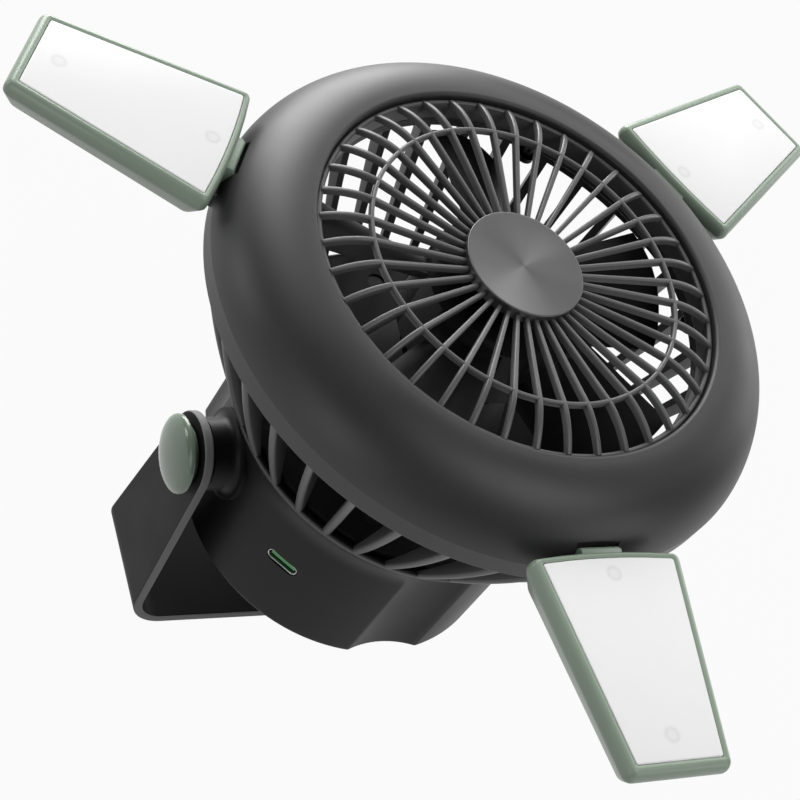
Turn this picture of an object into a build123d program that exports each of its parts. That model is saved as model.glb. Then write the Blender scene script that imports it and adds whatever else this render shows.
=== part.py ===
"""Rechargeable camping fan with three fold-out lights on a tilting stand, in millimetres.

The origin is the centre of the stand's underside. +Z is up, along the fan's axis when the
stand is straight. X runs along the pivots of the stand, and one light points along -Y.
"""

from build123d import *
import math
import os

# Shared clearances and cuts
slip_gap = 0.15
run_gap = 0.05
move_gap = 0.3
pilot_gap = 0.02
overrun = 1.0

# Battery pack: two layers of two round cells on a holder, which set the size of the barrel
cell_r = 9.2
cell_len = 65.0
cell_gap = 0.2
cell_layer_gap = 1.2
cell_floor_gap = 0.6
cell_top_gap = 3.4
holder_end_t = 1.0
holder_end_w = 24.0

# Battery barrel: round wall with three shallow flutes under the lights
barrel_wall = 2.2
pack_gap = 3.9
pivot_drop = 27.0
flare_w = 4.1
flare_h = 11.0
flute_half_deg = 13.0
flute_depth = 2.9
post_r = 4.0
post_inset = 3.5
post_degs = (90.0, 235.0, 305.0)
cover_post_len = 12.0
plate_post_len = 11.0
cover_t = 2.4
cover_inset = 0.6

# Stand: a strap bent into a U, with rounded ends round the pivots
pivot_z = 59.0
strap_t = 2.4
stand_base_w = 31.0
arm_end_r = 10.6
bend_r = 10.0

# Pivots of the stand: bolt, washer, threaded insert and domed cap on each side
bolt_r = 3.0
bolt_head_r = 6.0
bolt_head_t = 1.8
bolt_thread_r = 2.5
bolt_end_gap = 1.0
washer_t = 0.8
washer_r = 8.6
washer_gap = 0.1
insert_r = 3.8
insert_len = 8.0
boss_r = 9.0
boss_proud = 6.7
boss_sink = 3.0
cap_neck_r = 7.6
cap_neck_h = 1.7
cap_r = 9.9
cap_edge_t = 0.9
cap_dome_h = 2.6

# Front ring: domed shell with a short inner lip round the opening
ring_r = 70.0
ring_wall = 2.2
skirt_taper = 0.2
skirt_h = 5.5
dome_w = 17.2
dome_h = 15.3
dome_bulge_share = 0.68
lip_w = 2.3
lip_depth = 3.2
ledge_w = 1.3
ledge_drop = 7.1
duct_len = 3.0
shell_boss_r = 3.2
shell_boss_inset = 2.85
shell_screw_count = 6

# Front grille: spokes from a hub plate over a slim ring and down into the opening
spoke_count = 40
spoke_first_deg = 3.0
spoke_w = 1.15
spoke_depth = 1.7
spoke_foot_rise = 3.2
hub_r = 14.8
hub_plate_t = 2.4
hub_drop = 3.1
cap_crown_h = 1.5
slim_ring_inset = 12.0
slim_ring_w = 1.0
slim_ring_rise = 1.9
grille_rim_w = 2.0
grille_rim_t = 3.0

# Rear cowl: fins from a spigot inside the ring's skirt down to a collar on the barrel
cowl_h = 41.5
fin_count = 36
fin_first_deg = 5.0
fin_t = 2.1
fin_top_inset = 0.5
fin_bulge = 0.9
fin_top_depth = 6.5
fin_foot_depth = 1.7
spigot_w = 4.6
spigot_h = 2.6
slot_band_h = 2.1
collar_h = 2.6
collar_w = 3.0
collar_step = 0.8

# Screws
screw_r = 1.25
screw_head_r = 2.4
screw_head_t = 1.4
shell_screw_len = 10.0
post_screw_len = 8.0

# Motor plate with its tower, and the motor on top of it
plate_t = 2.0
plate_lip_w = 1.8
plate_lip_t = 1.2
tower_foot_r = 22.0
tower_rim = 1.5
tower_wall = 2.0
can_r = 13.5
can_wall = 1.5
can_gap = 0.5
bell_web = 0.8
bearing_r = 4.5
bearing_h = 3.0
shaft_r = 1.5
shaft_cover = 2.5
shaft_foot_gap = 0.6
shaft_hole_gap = 0.7
rotor_r = 9.0
rotor_h = 7.0
rotor_gap = 0.95
motor_screw_len = 4.5
motor_screw_count = 3

# Impeller: hub cup with swept blades
blade_count = 5
blade_first_deg = 7.5
blade_tip_gap = 1.7
impeller_drop = 19.7
impeller_h = 20.0
impeller_hub_r = 20.0
impeller_hub_wall = 2.0
impeller_crown_h = 2.5
impeller_boss_r = 4.0
impeller_boss_h = 7.0
blade_mid_rise = 11.0
blade_root_chord = 22.0
blade_tip_chord = 30.0
blade_t = 1.6
blade_camber = 2.4
blade_root_pitch_deg = 38.0
blade_tip_pitch_deg = 24.0

# Main board, its switches and the two push buttons in the wall of the barrel
board_w = 40.0
board_t = 1.6
board_gap = 0.6
board_floor_gap = 2.0
board_top_gap = 6.0
board_post_r = 2.4
board_post_inset = 4.0
board_screw_len = 4.0
button_x = 8.0
button_r = 4.5
button_proud = 0.7
button_travel = 1.0
button_post_gap = 1.6
button_flange_w = 0.9
button_flange_t = 1.0
button_stem_r = 1.5
button_edge_r = 0.6
switch_w = 6.2
switch_well_gap = 0.3
switch_floor_t = 0.6
stem_bite = 0.2

# Charging port in the wall of the barrel
port_deg = -140.0
port_drop = 1.1
port_w = 9.0
port_h = 3.3
port_len = 7.4
port_skin = 0.35
tongue_w = 7.2
tongue_t = 1.5
tongue_setback = 0.8
port_board_w = 9.6
port_board_len = 8.0
port_board_t = 1.2
port_shelf_t = 1.4

# Lights: tray, diffuser, light board and hinge, drawn pointing along +X
wing_front_deg = -90.0
wing_right_deg = 30.0
wing_left_deg = 150.0
wing_gap = 2.2
wing_len = 48.8
wing_in_half_w = 19.6
wing_out_half_w = 13.0
wing_bulge = 1.2
wing_corner_r = 2.0
wing_face_rise = 8.1
wing_land = 0.3
wing_shoulder_drop = 2.6
wing_rim_h = 3.4
wing_back_h = 4.9
wing_draft = 2.4
wing_floor_t = 1.6
glass_in_border = 0.8
glass_out_border = 2.6
glass_in_side = 2.7
glass_out_side = 2.1
glass_bulge = 0.8
glass_corner_r = 0.6
glass_t = 2.0
well_in_border = 4.3
well_inset = 1.5
light_board_t = 1.2
led_w = 2.8
led_h = 0.7
led_row_y = 6.0
led_end_gap = 2.0
led_columns = 6
wing_post_in = 6.4
wing_post_out = 8.5
wing_post_r = 2.6
wing_pad_r = 3.6
wing_pad_h = 1.4
wing_screw_r = 1.0
wing_screw_head_r = 2.0
wing_screw_head_t = 1.0
wing_screw_len = 5.0
wing_screw_sink = 0.2

# Hinges of the lights at the ring's edge
hinge_out = 0.8
hinge_drop = 0.8
hinge_pin_r = 1.0
hinge_tab_w = 10.4
hinge_tab_sink = 2.0
hinge_tab_top_drop = 1.4
knuckle_r = 2.5
notch_gap = 0.8
notch_wall = 2.8
ear_w = 3.5
ear_r = 2.3
hinge_block_h = 4.0

CENTRED = (Align.CENTER, Align.CENTER, Align.CENTER)
STANDING = (Align.CENTER, Align.CENTER, Align.MIN)


def rod(r, z0, z1):
    """Round bar along the fan's axis."""
    return Pos(0, 0, z0) * Cylinder(r, z1 - z0, align=STANDING)


def rod_x(r, x0, x1, y, z):
    """Round bar along X."""
    return Pos(x0, y, z) * Rot(0, 90, 0) * Cylinder(r, x1 - x0, align=STANDING)


def rod_y(r, y0, y1, x, z):
    """Round bar along Y."""
    return Pos(x, y0, z) * Rot(-90, 0, 0) * Cylinder(r, y1 - y0, align=STANDING)


def block(x0, x1, y0, y1, z0, z1):
    """Square block between two corners."""
    size = (x1 - x0, y1 - y0, z1 - z0)
    return Pos((x0 + x1) / 2, (y0 + y1) / 2, (z0 + z1) / 2) * Box(*size, align=CENTRED)


def section(*points):
    """Closed outline of radius and height points, in the plane of X and the axis."""
    return Plane.XZ * make_face(Polyline(*points, close=True))


def turned(*points):
    """Body of revolution about the fan's axis."""
    return revolve(section(*points), Axis.Z)


def spread(count, first_deg):
    """Even directions round the axis, in degrees."""
    return [first_deg + 360.0 * i / count for i in range(count)]


def at_each(shape, degrees):
    """Copies of a shape drawn along +X, turned to each direction."""
    return [Rot(0, 0, a) * shape for a in degrees]


def pan_screw(head_z, length, r=screw_r, head_r=screw_head_r, head_t=screw_head_t):
    """Screw on the axis whose head lies under head_z and whose shank points up."""
    return rod(head_r, head_z - head_t, head_z) + rod(r, head_z, head_z + length)


def write(node, *solids):
    """One file for each named piece."""
    shape = solids[0] if len(solids) == 1 else Compound(children=list(solids))
    export_step(shape, f"parts/{node}.step")


# Directions of the lights round the axis
wing_degs = {"front": wing_front_deg, "right": wing_right_deg, "left": wing_left_deg}

# Barrel round the battery pack, and the stand's arms beside it
pack_half_w = 2 * cell_r + cell_gap / 2
cavity_r = math.hypot(cell_len / 2, pack_half_w) + pack_gap
barrel_r = cavity_r + barrel_wall
barrel_bottom_z = pivot_z - pivot_drop
cover_z = barrel_bottom_z + cover_inset
floor_z = cover_z + cover_t
low_cell_z = floor_z + cell_floor_gap + cell_r
high_cell_z = low_cell_z + 2 * cell_r + cell_layer_gap
barrel_top_z = high_cell_z + cell_r + cell_top_gap
flare_top_r = barrel_r + flare_w
flute_floor_r = barrel_r - flute_depth
flute_half_w = barrel_r * math.sin(math.radians(flute_half_deg))
flute_sag = barrel_r * math.cos(math.radians(flute_half_deg)) - flute_floor_r
flute_r = (flute_half_w**2 + flute_sag**2) / (2 * flute_sag)
flute_axis_x = flute_floor_r + flute_r
post_at_r = cavity_r - post_inset
boss_x = barrel_r + boss_proud
arm_in_x = boss_x + washer_t + washer_gap
stand_half_x = arm_in_x + strap_t
bolt_seat_x = stand_half_x + move_gap

# Cowl and ring above the barrel
collar_top_z = barrel_top_z + collar_h
collar_in_r = flare_top_r - collar_w
fin_foot_r = flare_top_r + collar_step
band_z = barrel_top_z + cowl_h
band_r = ring_r - skirt_taper
fin_top_r = band_r - fin_top_inset
slot_top_z = band_z - slot_band_h
spigot_r = band_r - ring_wall - slip_gap
shell_boss_at_r = spigot_r - spigot_w - shell_boss_inset
shell_screw_degs = spread(shell_screw_count, 0.0)
shell_screw_z = band_z + slip_gap
edge_z = band_z + skirt_h
lip_z = edge_z + dome_h
lip_r = ring_r - dome_w
opening_r = lip_r - lip_w
duct_r = opening_r - ledge_w
ledge_z = lip_z - ledge_drop
duct_bottom_z = ledge_z - duct_len
hub_plate_z = lip_z - hub_drop
hub_top_z = hub_plate_z + hub_plate_t
slim_ring_r = opening_r - slim_ring_inset
slim_ring_z = lip_z + slim_ring_rise
spoke_foot_z = ledge_z + spoke_foot_rise

# Impeller behind the opening, and the motor under its hub
impeller_r = duct_r - blade_tip_gap
impeller_bottom_z = ledge_z - impeller_drop
impeller_top_z = impeller_bottom_z + impeller_h
blade_mid_z = impeller_bottom_z + blade_mid_rise
crown_z = impeller_top_z - impeller_crown_h
hub_roof_z = crown_z - impeller_hub_wall
shaft_top_z = impeller_top_z - shaft_cover
can_top_z = hub_roof_z - impeller_boss_h - can_gap
bell_t = bearing_h + bell_web
can_h = rotor_h + 2 * (rotor_gap + bell_t)
tower_top_z = can_top_z - can_h
tower_top_r = can_r + tower_rim
motor_screw_at_r = (bearing_r + can_r) / 2

# Board, buttons and charging port in the barrel
board_front_y = post_at_r - post_r - board_gap
board_y = board_front_y - board_t
board_bottom_z = floor_z + board_floor_gap
board_top_z = barrel_top_z - board_top_gap
board_post_x = board_w / 2 - board_post_inset
button_flange_r = button_r + button_flange_w
button_z = floor_z + cover_post_len + button_post_gap + button_flange_r
button_wall_y = math.sqrt(cavity_r**2 - (button_x + button_flange_r) ** 2)
button_back_y = button_wall_y - move_gap - button_flange_t
switch_front_y = button_back_y - button_travel - move_gap
port_z = (low_cell_z + high_cell_z) / 2 - port_drop

# Lights and hinges at the ring's edge
hinge_x = ring_r + hinge_out
hinge_z = edge_z - hinge_drop
hinge_tab_in_x = ring_r - hinge_tab_sink
notch_in_x = hinge_tab_in_x - notch_gap
notch_half_w = hinge_tab_w / 2 + move_gap
ear_half_w = notch_half_w + ear_w
wing_in_x = ring_r + wing_gap
wing_out_x = wing_in_x + wing_len
wing_face_z = edge_z + wing_face_rise
wing_shoulder_z = wing_face_z - wing_shoulder_drop
wing_crease_z = wing_face_z - wing_rim_h
wing_back_z = wing_crease_z - wing_back_h
wing_floor_z = wing_back_z + wing_floor_t
wing_pad_z = wing_floor_z + wing_pad_h
wing_post_x = (wing_in_x + wing_post_in, wing_out_x - wing_post_out)
glass_z = wing_face_z - glass_t
screw_seat_z = wing_back_z + wing_screw_sink + wing_screw_head_t


def stand_bracket():
    """Strap bent to a U, trimmed to arms that widen from the pivots to the base."""
    reach_z = pivot_z + arm_end_r
    outer = Rectangle(2 * stand_half_x, 2 * reach_z)
    inner = Rectangle(2 * arm_in_x, 2 * (reach_z - strap_t))
    outer = fillet(outer.vertices().sort_by(Axis.Y)[:2], bend_r)
    inner = fillet(inner.vertices().sort_by(Axis.Y)[:2], bend_r - strap_t)
    strap = Plane.XZ * (Pos(0, reach_z) * outer - Pos(0, reach_z) * inner)
    strap = extrude(strap, stand_base_w, both=True)
    lean = math.asin((stand_base_w / 2 - arm_end_r) / pivot_z)
    top_y = arm_end_r * math.cos(lean)
    top_z = pivot_z + arm_end_r * math.sin(lean)
    side = make_face(
        [
            Line((-stand_base_w / 2, 0), (stand_base_w / 2, 0)),
            Line((stand_base_w / 2, 0), (top_y, top_z)),
            ThreePointArc((top_y, top_z), (0, pivot_z + arm_end_r), (-top_y, top_z)),
            Line((-top_y, top_z), (-stand_base_w / 2, 0)),
        ]
    )
    bracket = strap & extrude(Plane.YZ * side, 2 * stand_half_x, both=True)
    return bracket - rod_x(bolt_r + run_gap, -2 * stand_half_x, 2 * stand_half_x, 0, pivot_z)


def pivot_bolt():
    """Shoulder bolt of the right-hand pivot, with its flat round head outside the arm."""
    shoulder = rod_x(bolt_r, boss_x, bolt_seat_x, 0, pivot_z)
    thread = rod_x(bolt_thread_r, boss_x - insert_len + bolt_end_gap, boss_x, 0, pivot_z)
    head = rod_x(bolt_head_r, bolt_seat_x, bolt_seat_x + bolt_head_t, 0, pivot_z)
    return shoulder + thread + head


def friction_washer():
    """Flat washer between the barrel's boss and the arm."""
    washer = rod_x(washer_r, boss_x, boss_x + washer_t, 0, pivot_z)
    return washer - rod_x(bolt_r + slip_gap, boss_x - overrun, arm_in_x, 0, pivot_z)


def pivot_insert():
    """Threaded bush moulded into the boss."""
    bush = rod_x(insert_r, boss_x - insert_len, boss_x, 0, pivot_z)
    return bush - rod_x(bolt_thread_r + pilot_gap, 0, stand_half_x, 0, pivot_z)


def pivot_cap():
    """Domed cap on a narrower neck that covers the bolt's head."""
    edge = cap_neck_h + cap_edge_t
    top = edge + cap_dome_h
    half = make_face(
        [
            Line((0, 0), (cap_neck_r, 0)),
            Line((cap_neck_r, 0), (cap_neck_r, cap_neck_h)),
            Line((cap_neck_r, cap_neck_h), (cap_r, cap_neck_h)),
            Line((cap_r, cap_neck_h), (cap_r, edge)),
            TangentArc((0, top), (cap_r, edge), tangent=(1, 0)),
            Line((0, top), (0, 0)),
        ]
    )
    dome = revolve(Plane.XZ * half, Axis.Z)
    dome -= rod(bolt_head_r + slip_gap, -overrun, bolt_head_t)
    return Pos(bolt_seat_x, 0, pivot_z) * Rot(0, 90, 0) * dome


def dome_arc(r, foot_r, z, top_z):
    """Arc of the ring's dome from its widest edge in to its lip."""
    mid_r = foot_r + dome_bulge_share * (r - foot_r)
    mid_z = z + dome_bulge_share * (top_z - z)
    return ThreePointArc((r, z), (mid_r, mid_z), (foot_r, top_z))


def front_ring():
    """Domed ring with its inner lip, hinge blocks, ears and screw bosses."""
    skin = ring_wall
    lip_foot = (opening_r, lip_z - lip_depth)
    outside = [
        Line((band_r, band_z), (ring_r, edge_z)),
        dome_arc(ring_r, lip_r, edge_z, lip_z),
        Line((lip_r, lip_z), lip_foot),
    ]
    duct = [
        lip_foot,
        (opening_r, ledge_z),
        (duct_r, ledge_z),
        (duct_r, duct_bottom_z),
        (duct_r + skin, duct_bottom_z),
        (duct_r + skin, ledge_z - skin),
        (opening_r + skin, ledge_z),
        (lip_r + skin / 2, lip_z - skin),
    ]
    inside = [
        dome_arc(ring_r - skin, lip_r + skin / 2, edge_z, lip_z - skin),
        Line((ring_r - skin, edge_z), (band_r - skin, band_z)),
        Line((band_r - skin, band_z), (band_r, band_z)),
    ]
    ring = revolve(Plane.XZ * make_face(outside + [Polyline(*duct)] + inside), Axis.Z)
    closing = [Line(lip_foot, (opening_r, band_z)), Line((opening_r, band_z), (band_r, band_z))]
    envelope = revolve(Plane.XZ * make_face(outside + closing), Axis.Z)

    boss = Pos(shell_boss_at_r, 0, 0) * rod(shell_boss_r, shell_screw_z + spigot_h, lip_z)
    pilot = rod(screw_r + pilot_gap, band_z, shell_screw_z + shell_screw_len)
    pilot = Pos(shell_boss_at_r, 0, 0) * pilot
    bosses = [b & envelope for b in at_each(boss, shell_screw_degs)]

    seat = block(notch_in_x - notch_wall, ring_r, -ear_half_w, ear_half_w, band_z, edge_z + hinge_block_h)
    ear = Pos(hinge_x, 0, hinge_z) * Rot(90, 0, 0) * Cylinder(ear_r, 2 * ear_half_w, align=CENTRED)
    ear += block(notch_in_x, hinge_x, -ear_half_w, ear_half_w, hinge_z - ear_r, hinge_z + ear_r)
    notch = block(notch_in_x, hinge_x + knuckle_r + overrun, -notch_half_w, notch_half_w, 0, lip_z)
    bore = rod_y(hinge_pin_r + pilot_gap, -ear_half_w, ear_half_w, hinge_x, hinge_z)
    for degrees in wing_degs.values():
        turn = Rot(0, 0, degrees)
        ring += (turn * seat) & envelope
        ring += turn * ear
        ring -= turn * (notch + bore)
    for added in bosses:
        ring += added
    for cut in at_each(pilot, shell_screw_degs):
        ring -= cut
    return ring


def front_grille():
    """One moulding of spokes, slim ring, hub plate and the rim that drops on the ledge."""
    rim_r = opening_r - slip_gap
    rim_z = ledge_z + slip_gap
    foot_r = rim_r - grille_rim_w / 2
    root_r = hub_r - slim_ring_w
    root_z = hub_top_z
    mid_r = (slim_ring_r + foot_r) / 2 + spoke_depth / 2
    mid_z = (slim_ring_z + spoke_foot_z) / 2 + spoke_depth / 2
    drop = spoke_depth
    low_bend = (slim_ring_r, slim_ring_z - drop)
    profile = make_face(
        [
            Line((root_r, root_z), (slim_ring_r, slim_ring_z)),
            ThreePointArc((slim_ring_r, slim_ring_z), (mid_r, mid_z), (foot_r, spoke_foot_z)),
            Line((foot_r, spoke_foot_z), (foot_r, spoke_foot_z - drop)),
            ThreePointArc((foot_r, spoke_foot_z - drop), (mid_r - drop / 2, mid_z - drop), low_bend),
            Line(low_bend, (root_r, root_z - drop)),
            Line((root_r, root_z - drop), (root_r, root_z)),
        ]
    )
    spoke = extrude(Plane.XZ * profile, spoke_w / 2, both=True)
    slim = turned(
        (slim_ring_r - slim_ring_w / 2, slim_ring_z - spoke_depth),
        (slim_ring_r + slim_ring_w / 2, slim_ring_z - spoke_depth),
        (slim_ring_r + slim_ring_w / 2, slim_ring_z),
        (slim_ring_r - slim_ring_w / 2, slim_ring_z),
    )
    rim = rod(rim_r, rim_z, rim_z + grille_rim_t) - rod(rim_r - grille_rim_w, 0, lip_z)
    hub = rod(hub_r - slim_ring_w / 2, hub_plate_z, hub_top_z)
    grille = hub + slim + rim + at_each(spoke, spread(spoke_count, spoke_first_deg))
    return grille - rod(hub_r + slip_gap, hub_top_z, hub_top_z + lip_depth)


def hub_cap():
    """Bare round cap in the middle of the grille, slightly crowned."""
    half = make_face(
        [
            Line((0, hub_top_z), (hub_r, hub_top_z)),
            Line((hub_r, hub_top_z), (hub_r, hub_top_z + cap_crown_h / 2)),
            TangentArc((0, hub_top_z + cap_crown_h), (hub_r, hub_top_z + cap_crown_h / 2), tangent=(1, 0)),
            Line((0, hub_top_z + cap_crown_h), (0, hub_top_z)),
        ]
    )
    return revolve(Plane.XZ * half, Axis.Z)


def rear_cowl():
    """Cage of fins between the spigot under the ring and the collar on the barrel."""
    top_z = band_z - slip_gap
    foot_z = barrel_top_z + collar_h / 2
    mid_r = (fin_top_r + fin_foot_r) / 2 + fin_bulge
    mid_z = (top_z + foot_z) / 2
    profile = make_face(
        [
            ThreePointArc((fin_foot_r, foot_z), (mid_r, mid_z), (fin_top_r, top_z)),
            Line((fin_top_r, top_z), (fin_top_r - fin_top_depth, top_z)),
            Line((fin_top_r - fin_top_depth, top_z), (fin_foot_r - fin_foot_depth, foot_z)),
            Line((fin_foot_r - fin_foot_depth, foot_z), (fin_foot_r, foot_z)),
        ]
    )
    fin = extrude(Plane.XZ * profile, fin_t / 2, both=True)
    spigot = rod(spigot_r, slot_top_z, shell_screw_z + spigot_h)
    spigot -= rod(spigot_r - spigot_w, 0, lip_z)
    tab_top_z = shell_screw_z + spigot_h
    tab = Pos(shell_boss_at_r, 0, 0) * rod(shell_boss_r, shell_screw_z, tab_top_z)
    web_x = spigot_r - spigot_w / 2
    web = block(shell_boss_at_r, web_x, -shell_boss_r, shell_boss_r, shell_screw_z, tab_top_z)
    hole = Pos(shell_boss_at_r, 0, 0) * rod(screw_r + slip_gap, 0, lip_z)
    collar = turned(
        (collar_in_r, barrel_top_z),
        (flare_top_r, barrel_top_z),
        (fin_foot_r, foot_z),
        (fin_foot_r, collar_top_z),
        (collar_in_r, collar_top_z),
    )
    cowl = spigot + collar + at_each(fin, spread(fin_count, fin_first_deg))
    cowl += at_each(tab + web, shell_screw_degs)
    for cut in at_each(hole, shell_screw_degs):
        cowl -= cut
    clear = notch_in_x - notch_wall - slip_gap
    side = ear_half_w + slip_gap
    pocket = block(clear, ring_r, -side, side, band_z - slip_gap, lip_z)
    for cut in at_each(pocket, wing_degs.values()):
        cowl -= cut
    return cowl


def flutes(grow):
    """Three round-bottomed flutes, widened into the barrel by a wall or a gap."""
    flute = Pos(flute_axis_x, 0, 0) * rod(flute_r + grow, 0, lip_z)
    return at_each(flute, wing_degs.values())


def barrel_cavity(grow, z0, z1):
    """Room inside the barrel's wall between two heights, less an all-round gap."""
    room = rod(cavity_r - grow, z0, z1)
    for flute in flutes(barrel_wall + grow):
        room -= flute
    return room


def post_screw_holes(z0, z1):
    """Pilot holes of the screws in the barrel's posts."""
    hole = Pos(post_at_r, 0, 0) * rod(screw_r + pilot_gap, z0, z1)
    return at_each(hole, post_degs)


def port_slot(w, h, depth):
    """Round-ended bar of the charging port, outwards from the axis of the fan."""
    bar = extrude(Plane.YZ * SlotOverall(w, h), depth)
    return Rot(0, 0, port_deg) * (Pos(0, 0, port_z) * bar)


def battery_housing():
    """Fluted barrel that flares to the cowl, with pivot bosses, posts and openings."""
    half = make_face(
        [
            Line((0, barrel_bottom_z), (barrel_r, barrel_bottom_z)),
            Line((barrel_r, barrel_bottom_z), (barrel_r, barrel_top_z - flare_h)),
            TangentArc((barrel_r, barrel_top_z - flare_h), (flare_top_r, barrel_top_z), tangent=(0, 1)),
            Line((flare_top_r, barrel_top_z), (0, barrel_top_z)),
            Line((0, barrel_top_z), (0, barrel_bottom_z)),
        ]
    )
    barrel = revolve(Plane.XZ * half, Axis.Z)
    for flute in flutes(0):
        barrel -= flute
    barrel -= barrel_cavity(0, 0, lip_z)

    inside = rod(cavity_r + barrel_wall / 2, 0, lip_z)
    lower = Pos(post_at_r, 0, 0) * rod(post_r, floor_z, floor_z + cover_post_len)
    upper = Pos(post_at_r, 0, 0) * rod(post_r, barrel_top_z - plate_post_len, barrel_top_z)
    for post in at_each(lower + upper, post_degs):
        barrel += post & inside
    for hole in post_screw_holes(0, lip_z):
        barrel -= hole
    for x, z in board_screw_places():
        barrel += rod_y(board_post_r, board_front_y, barrel_r, x, z) & inside
        barrel -= rod_y(screw_r + pilot_gap, 0, board_front_y + board_screw_len, x, z)
    for side in (1, -1):
        reach = sorted((side * (barrel_r - boss_sink), side * boss_x))
        barrel += rod_x(boss_r, *reach, 0, pivot_z)
        depth = sorted((side * (boss_x - insert_len), side * stand_half_x))
        barrel -= rod_x(insert_r + pilot_gap, *depth, 0, pivot_z)
    for x in (-button_x, button_x):
        barrel -= rod_y(button_r + slip_gap, 0, 2 * barrel_r, x, button_z)

    shelf_top = port_z - port_h / 2 - port_board_t
    half = port_board_w / 2
    root_x = cavity_r + barrel_wall / 2
    shelf = block(barrel_r - port_board_len, root_x, -half, half, shelf_top - port_shelf_t, shelf_top)
    barrel += Rot(0, 0, port_deg) * shelf
    return barrel - port_slot(port_w + 2 * slip_gap, port_h + 2 * slip_gap, 2 * barrel_r)


def bottom_cover():
    """Flat cover let into the bottom of the barrel, with sunk screw seats."""
    cover = barrel_cavity(slip_gap, cover_z, floor_z)
    seat = rod(screw_head_r + slip_gap, 0, cover_z + screw_head_t)
    hole = rod(screw_r + slip_gap, 0, lip_z)
    for cut in at_each(Pos(post_at_r, 0, 0) * (seat + hole), post_degs):
        cover -= cut
    return cover


def motor_plate():
    """Floor over the batteries with a hollow tower that carries the motor."""
    lip_r_out = collar_in_r - slip_gap + plate_lip_w
    top_z = collar_top_z + plate_lip_t
    plate = turned(
        (0, barrel_top_z),
        (collar_in_r - slip_gap, barrel_top_z),
        (collar_in_r - slip_gap, collar_top_z),
        (lip_r_out, collar_top_z),
        (lip_r_out, top_z),
        (tower_foot_r, top_z),
        (tower_top_r, tower_top_z),
        (0, tower_top_z),
    )
    plate -= turned(
        (0, barrel_top_z - overrun),
        (tower_foot_r - tower_wall, barrel_top_z - overrun),
        (tower_foot_r - tower_wall, top_z - plate_t),
        (tower_top_r - tower_wall, tower_top_z - tower_wall),
        (0, tower_top_z - tower_wall),
    )
    well = rod(screw_head_r + slip_gap, barrel_top_z + plate_t, lip_z)
    hole = rod(screw_r + slip_gap, 0, lip_z)
    for cut in at_each(Pos(post_at_r, 0, 0) * (well + hole), post_degs):
        plate -= cut
    for cut in at_each(Pos(motor_screw_at_r, 0, 0) * hole, spread(motor_screw_count, 0.0)):
        plate -= cut
    return plate


def motor_can():
    """Round motor case with a bearing seat in each end."""
    top_z = can_top_z
    can = rod(can_r, tower_top_z, top_z)
    can -= rod(can_r - can_wall, tower_top_z + bell_t, top_z - bell_t)
    can -= rod(bearing_r, tower_top_z, tower_top_z + bearing_h)
    can -= rod(bearing_r, top_z - bearing_h, top_z)
    can -= rod(shaft_r + shaft_hole_gap, tower_top_z, top_z)
    pilot = rod(screw_r + pilot_gap, tower_top_z, tower_top_z + motor_screw_len - tower_wall)
    for cut in at_each(Pos(motor_screw_at_r, 0, 0) * pilot, spread(motor_screw_count, 0.0)):
        can -= cut
    return can


def bearing(z):
    """Small closed ball bearing, drawn as its outer ring and bore."""
    return rod(bearing_r - pilot_gap, z, z + bearing_h) - rod(shaft_r + run_gap, z, z + bearing_h)


def motor_shaft():
    """Plain steel shaft through both bearings."""
    return rod(shaft_r, tower_top_z + shaft_foot_gap, shaft_top_z)


def motor_rotor():
    """Magnet core on the shaft inside the case."""
    mid_z = tower_top_z + can_h / 2
    return rod(rotor_r, mid_z - rotor_h / 2, mid_z + rotor_h / 2) - rod(shaft_r, 0, lip_z)


def blade_section(x, chord, pitch_deg):
    """Thin cambered section of a blade across a radius, turned to its pitch."""
    pitch = math.radians(pitch_deg)
    plane = Plane(
        origin=(x, 0, blade_mid_z),
        x_dir=(0, math.cos(pitch), math.sin(pitch)),
        z_dir=(1, 0, 0),
    )
    nose = (-chord / 2, 0)
    tail = (chord / 2, 0)
    outline = make_face(
        [
            ThreePointArc(nose, (0, blade_camber + blade_t / 2), tail),
            ThreePointArc(tail, (0, blade_camber - blade_t / 2), nose),
        ]
    )
    return plane * outline


def impeller():
    """Crowned hub cup on a boss, with lofted blades trimmed to a round sweep."""
    inner_r = impeller_hub_r - impeller_hub_wall
    half = make_face(
        [
            Line((0, impeller_bottom_z), (impeller_hub_r, impeller_bottom_z)),
            Line((impeller_hub_r, impeller_bottom_z), (impeller_hub_r, crown_z)),
            TangentArc((0, impeller_top_z), (impeller_hub_r, crown_z), tangent=(1, 0)),
            Line((0, impeller_top_z), (0, impeller_bottom_z)),
        ]
    )
    hub = revolve(Plane.XZ * half, Axis.Z)
    root_x = impeller_hub_r - impeller_hub_wall / 2
    blade = loft(
        [
            blade_section(root_x, blade_root_chord, blade_root_pitch_deg),
            blade_section(impeller_r + overrun, blade_tip_chord, blade_tip_pitch_deg),
        ]
    )
    blade &= rod(impeller_r, impeller_bottom_z, lip_z)
    wheel = hub + at_each(blade, spread(blade_count, blade_first_deg))
    boss = rod(impeller_boss_r, hub_roof_z - impeller_boss_h, lip_z)
    wheel -= rod(inner_r, 0, hub_roof_z) - boss
    return wheel - rod(shaft_r, 0, shaft_top_z)


def cell_places():
    """Centre lines of the cells, as places across and up."""
    y = cell_r + cell_gap / 2
    return [(side * y, z) for z in (low_cell_z, high_cell_z) for side in (-1, 1)]


def battery_cells():
    """Round cells lying along X."""
    return [rod_x(cell_r, -cell_len / 2, cell_len / 2, y, z) for y, z in cell_places()]


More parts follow.
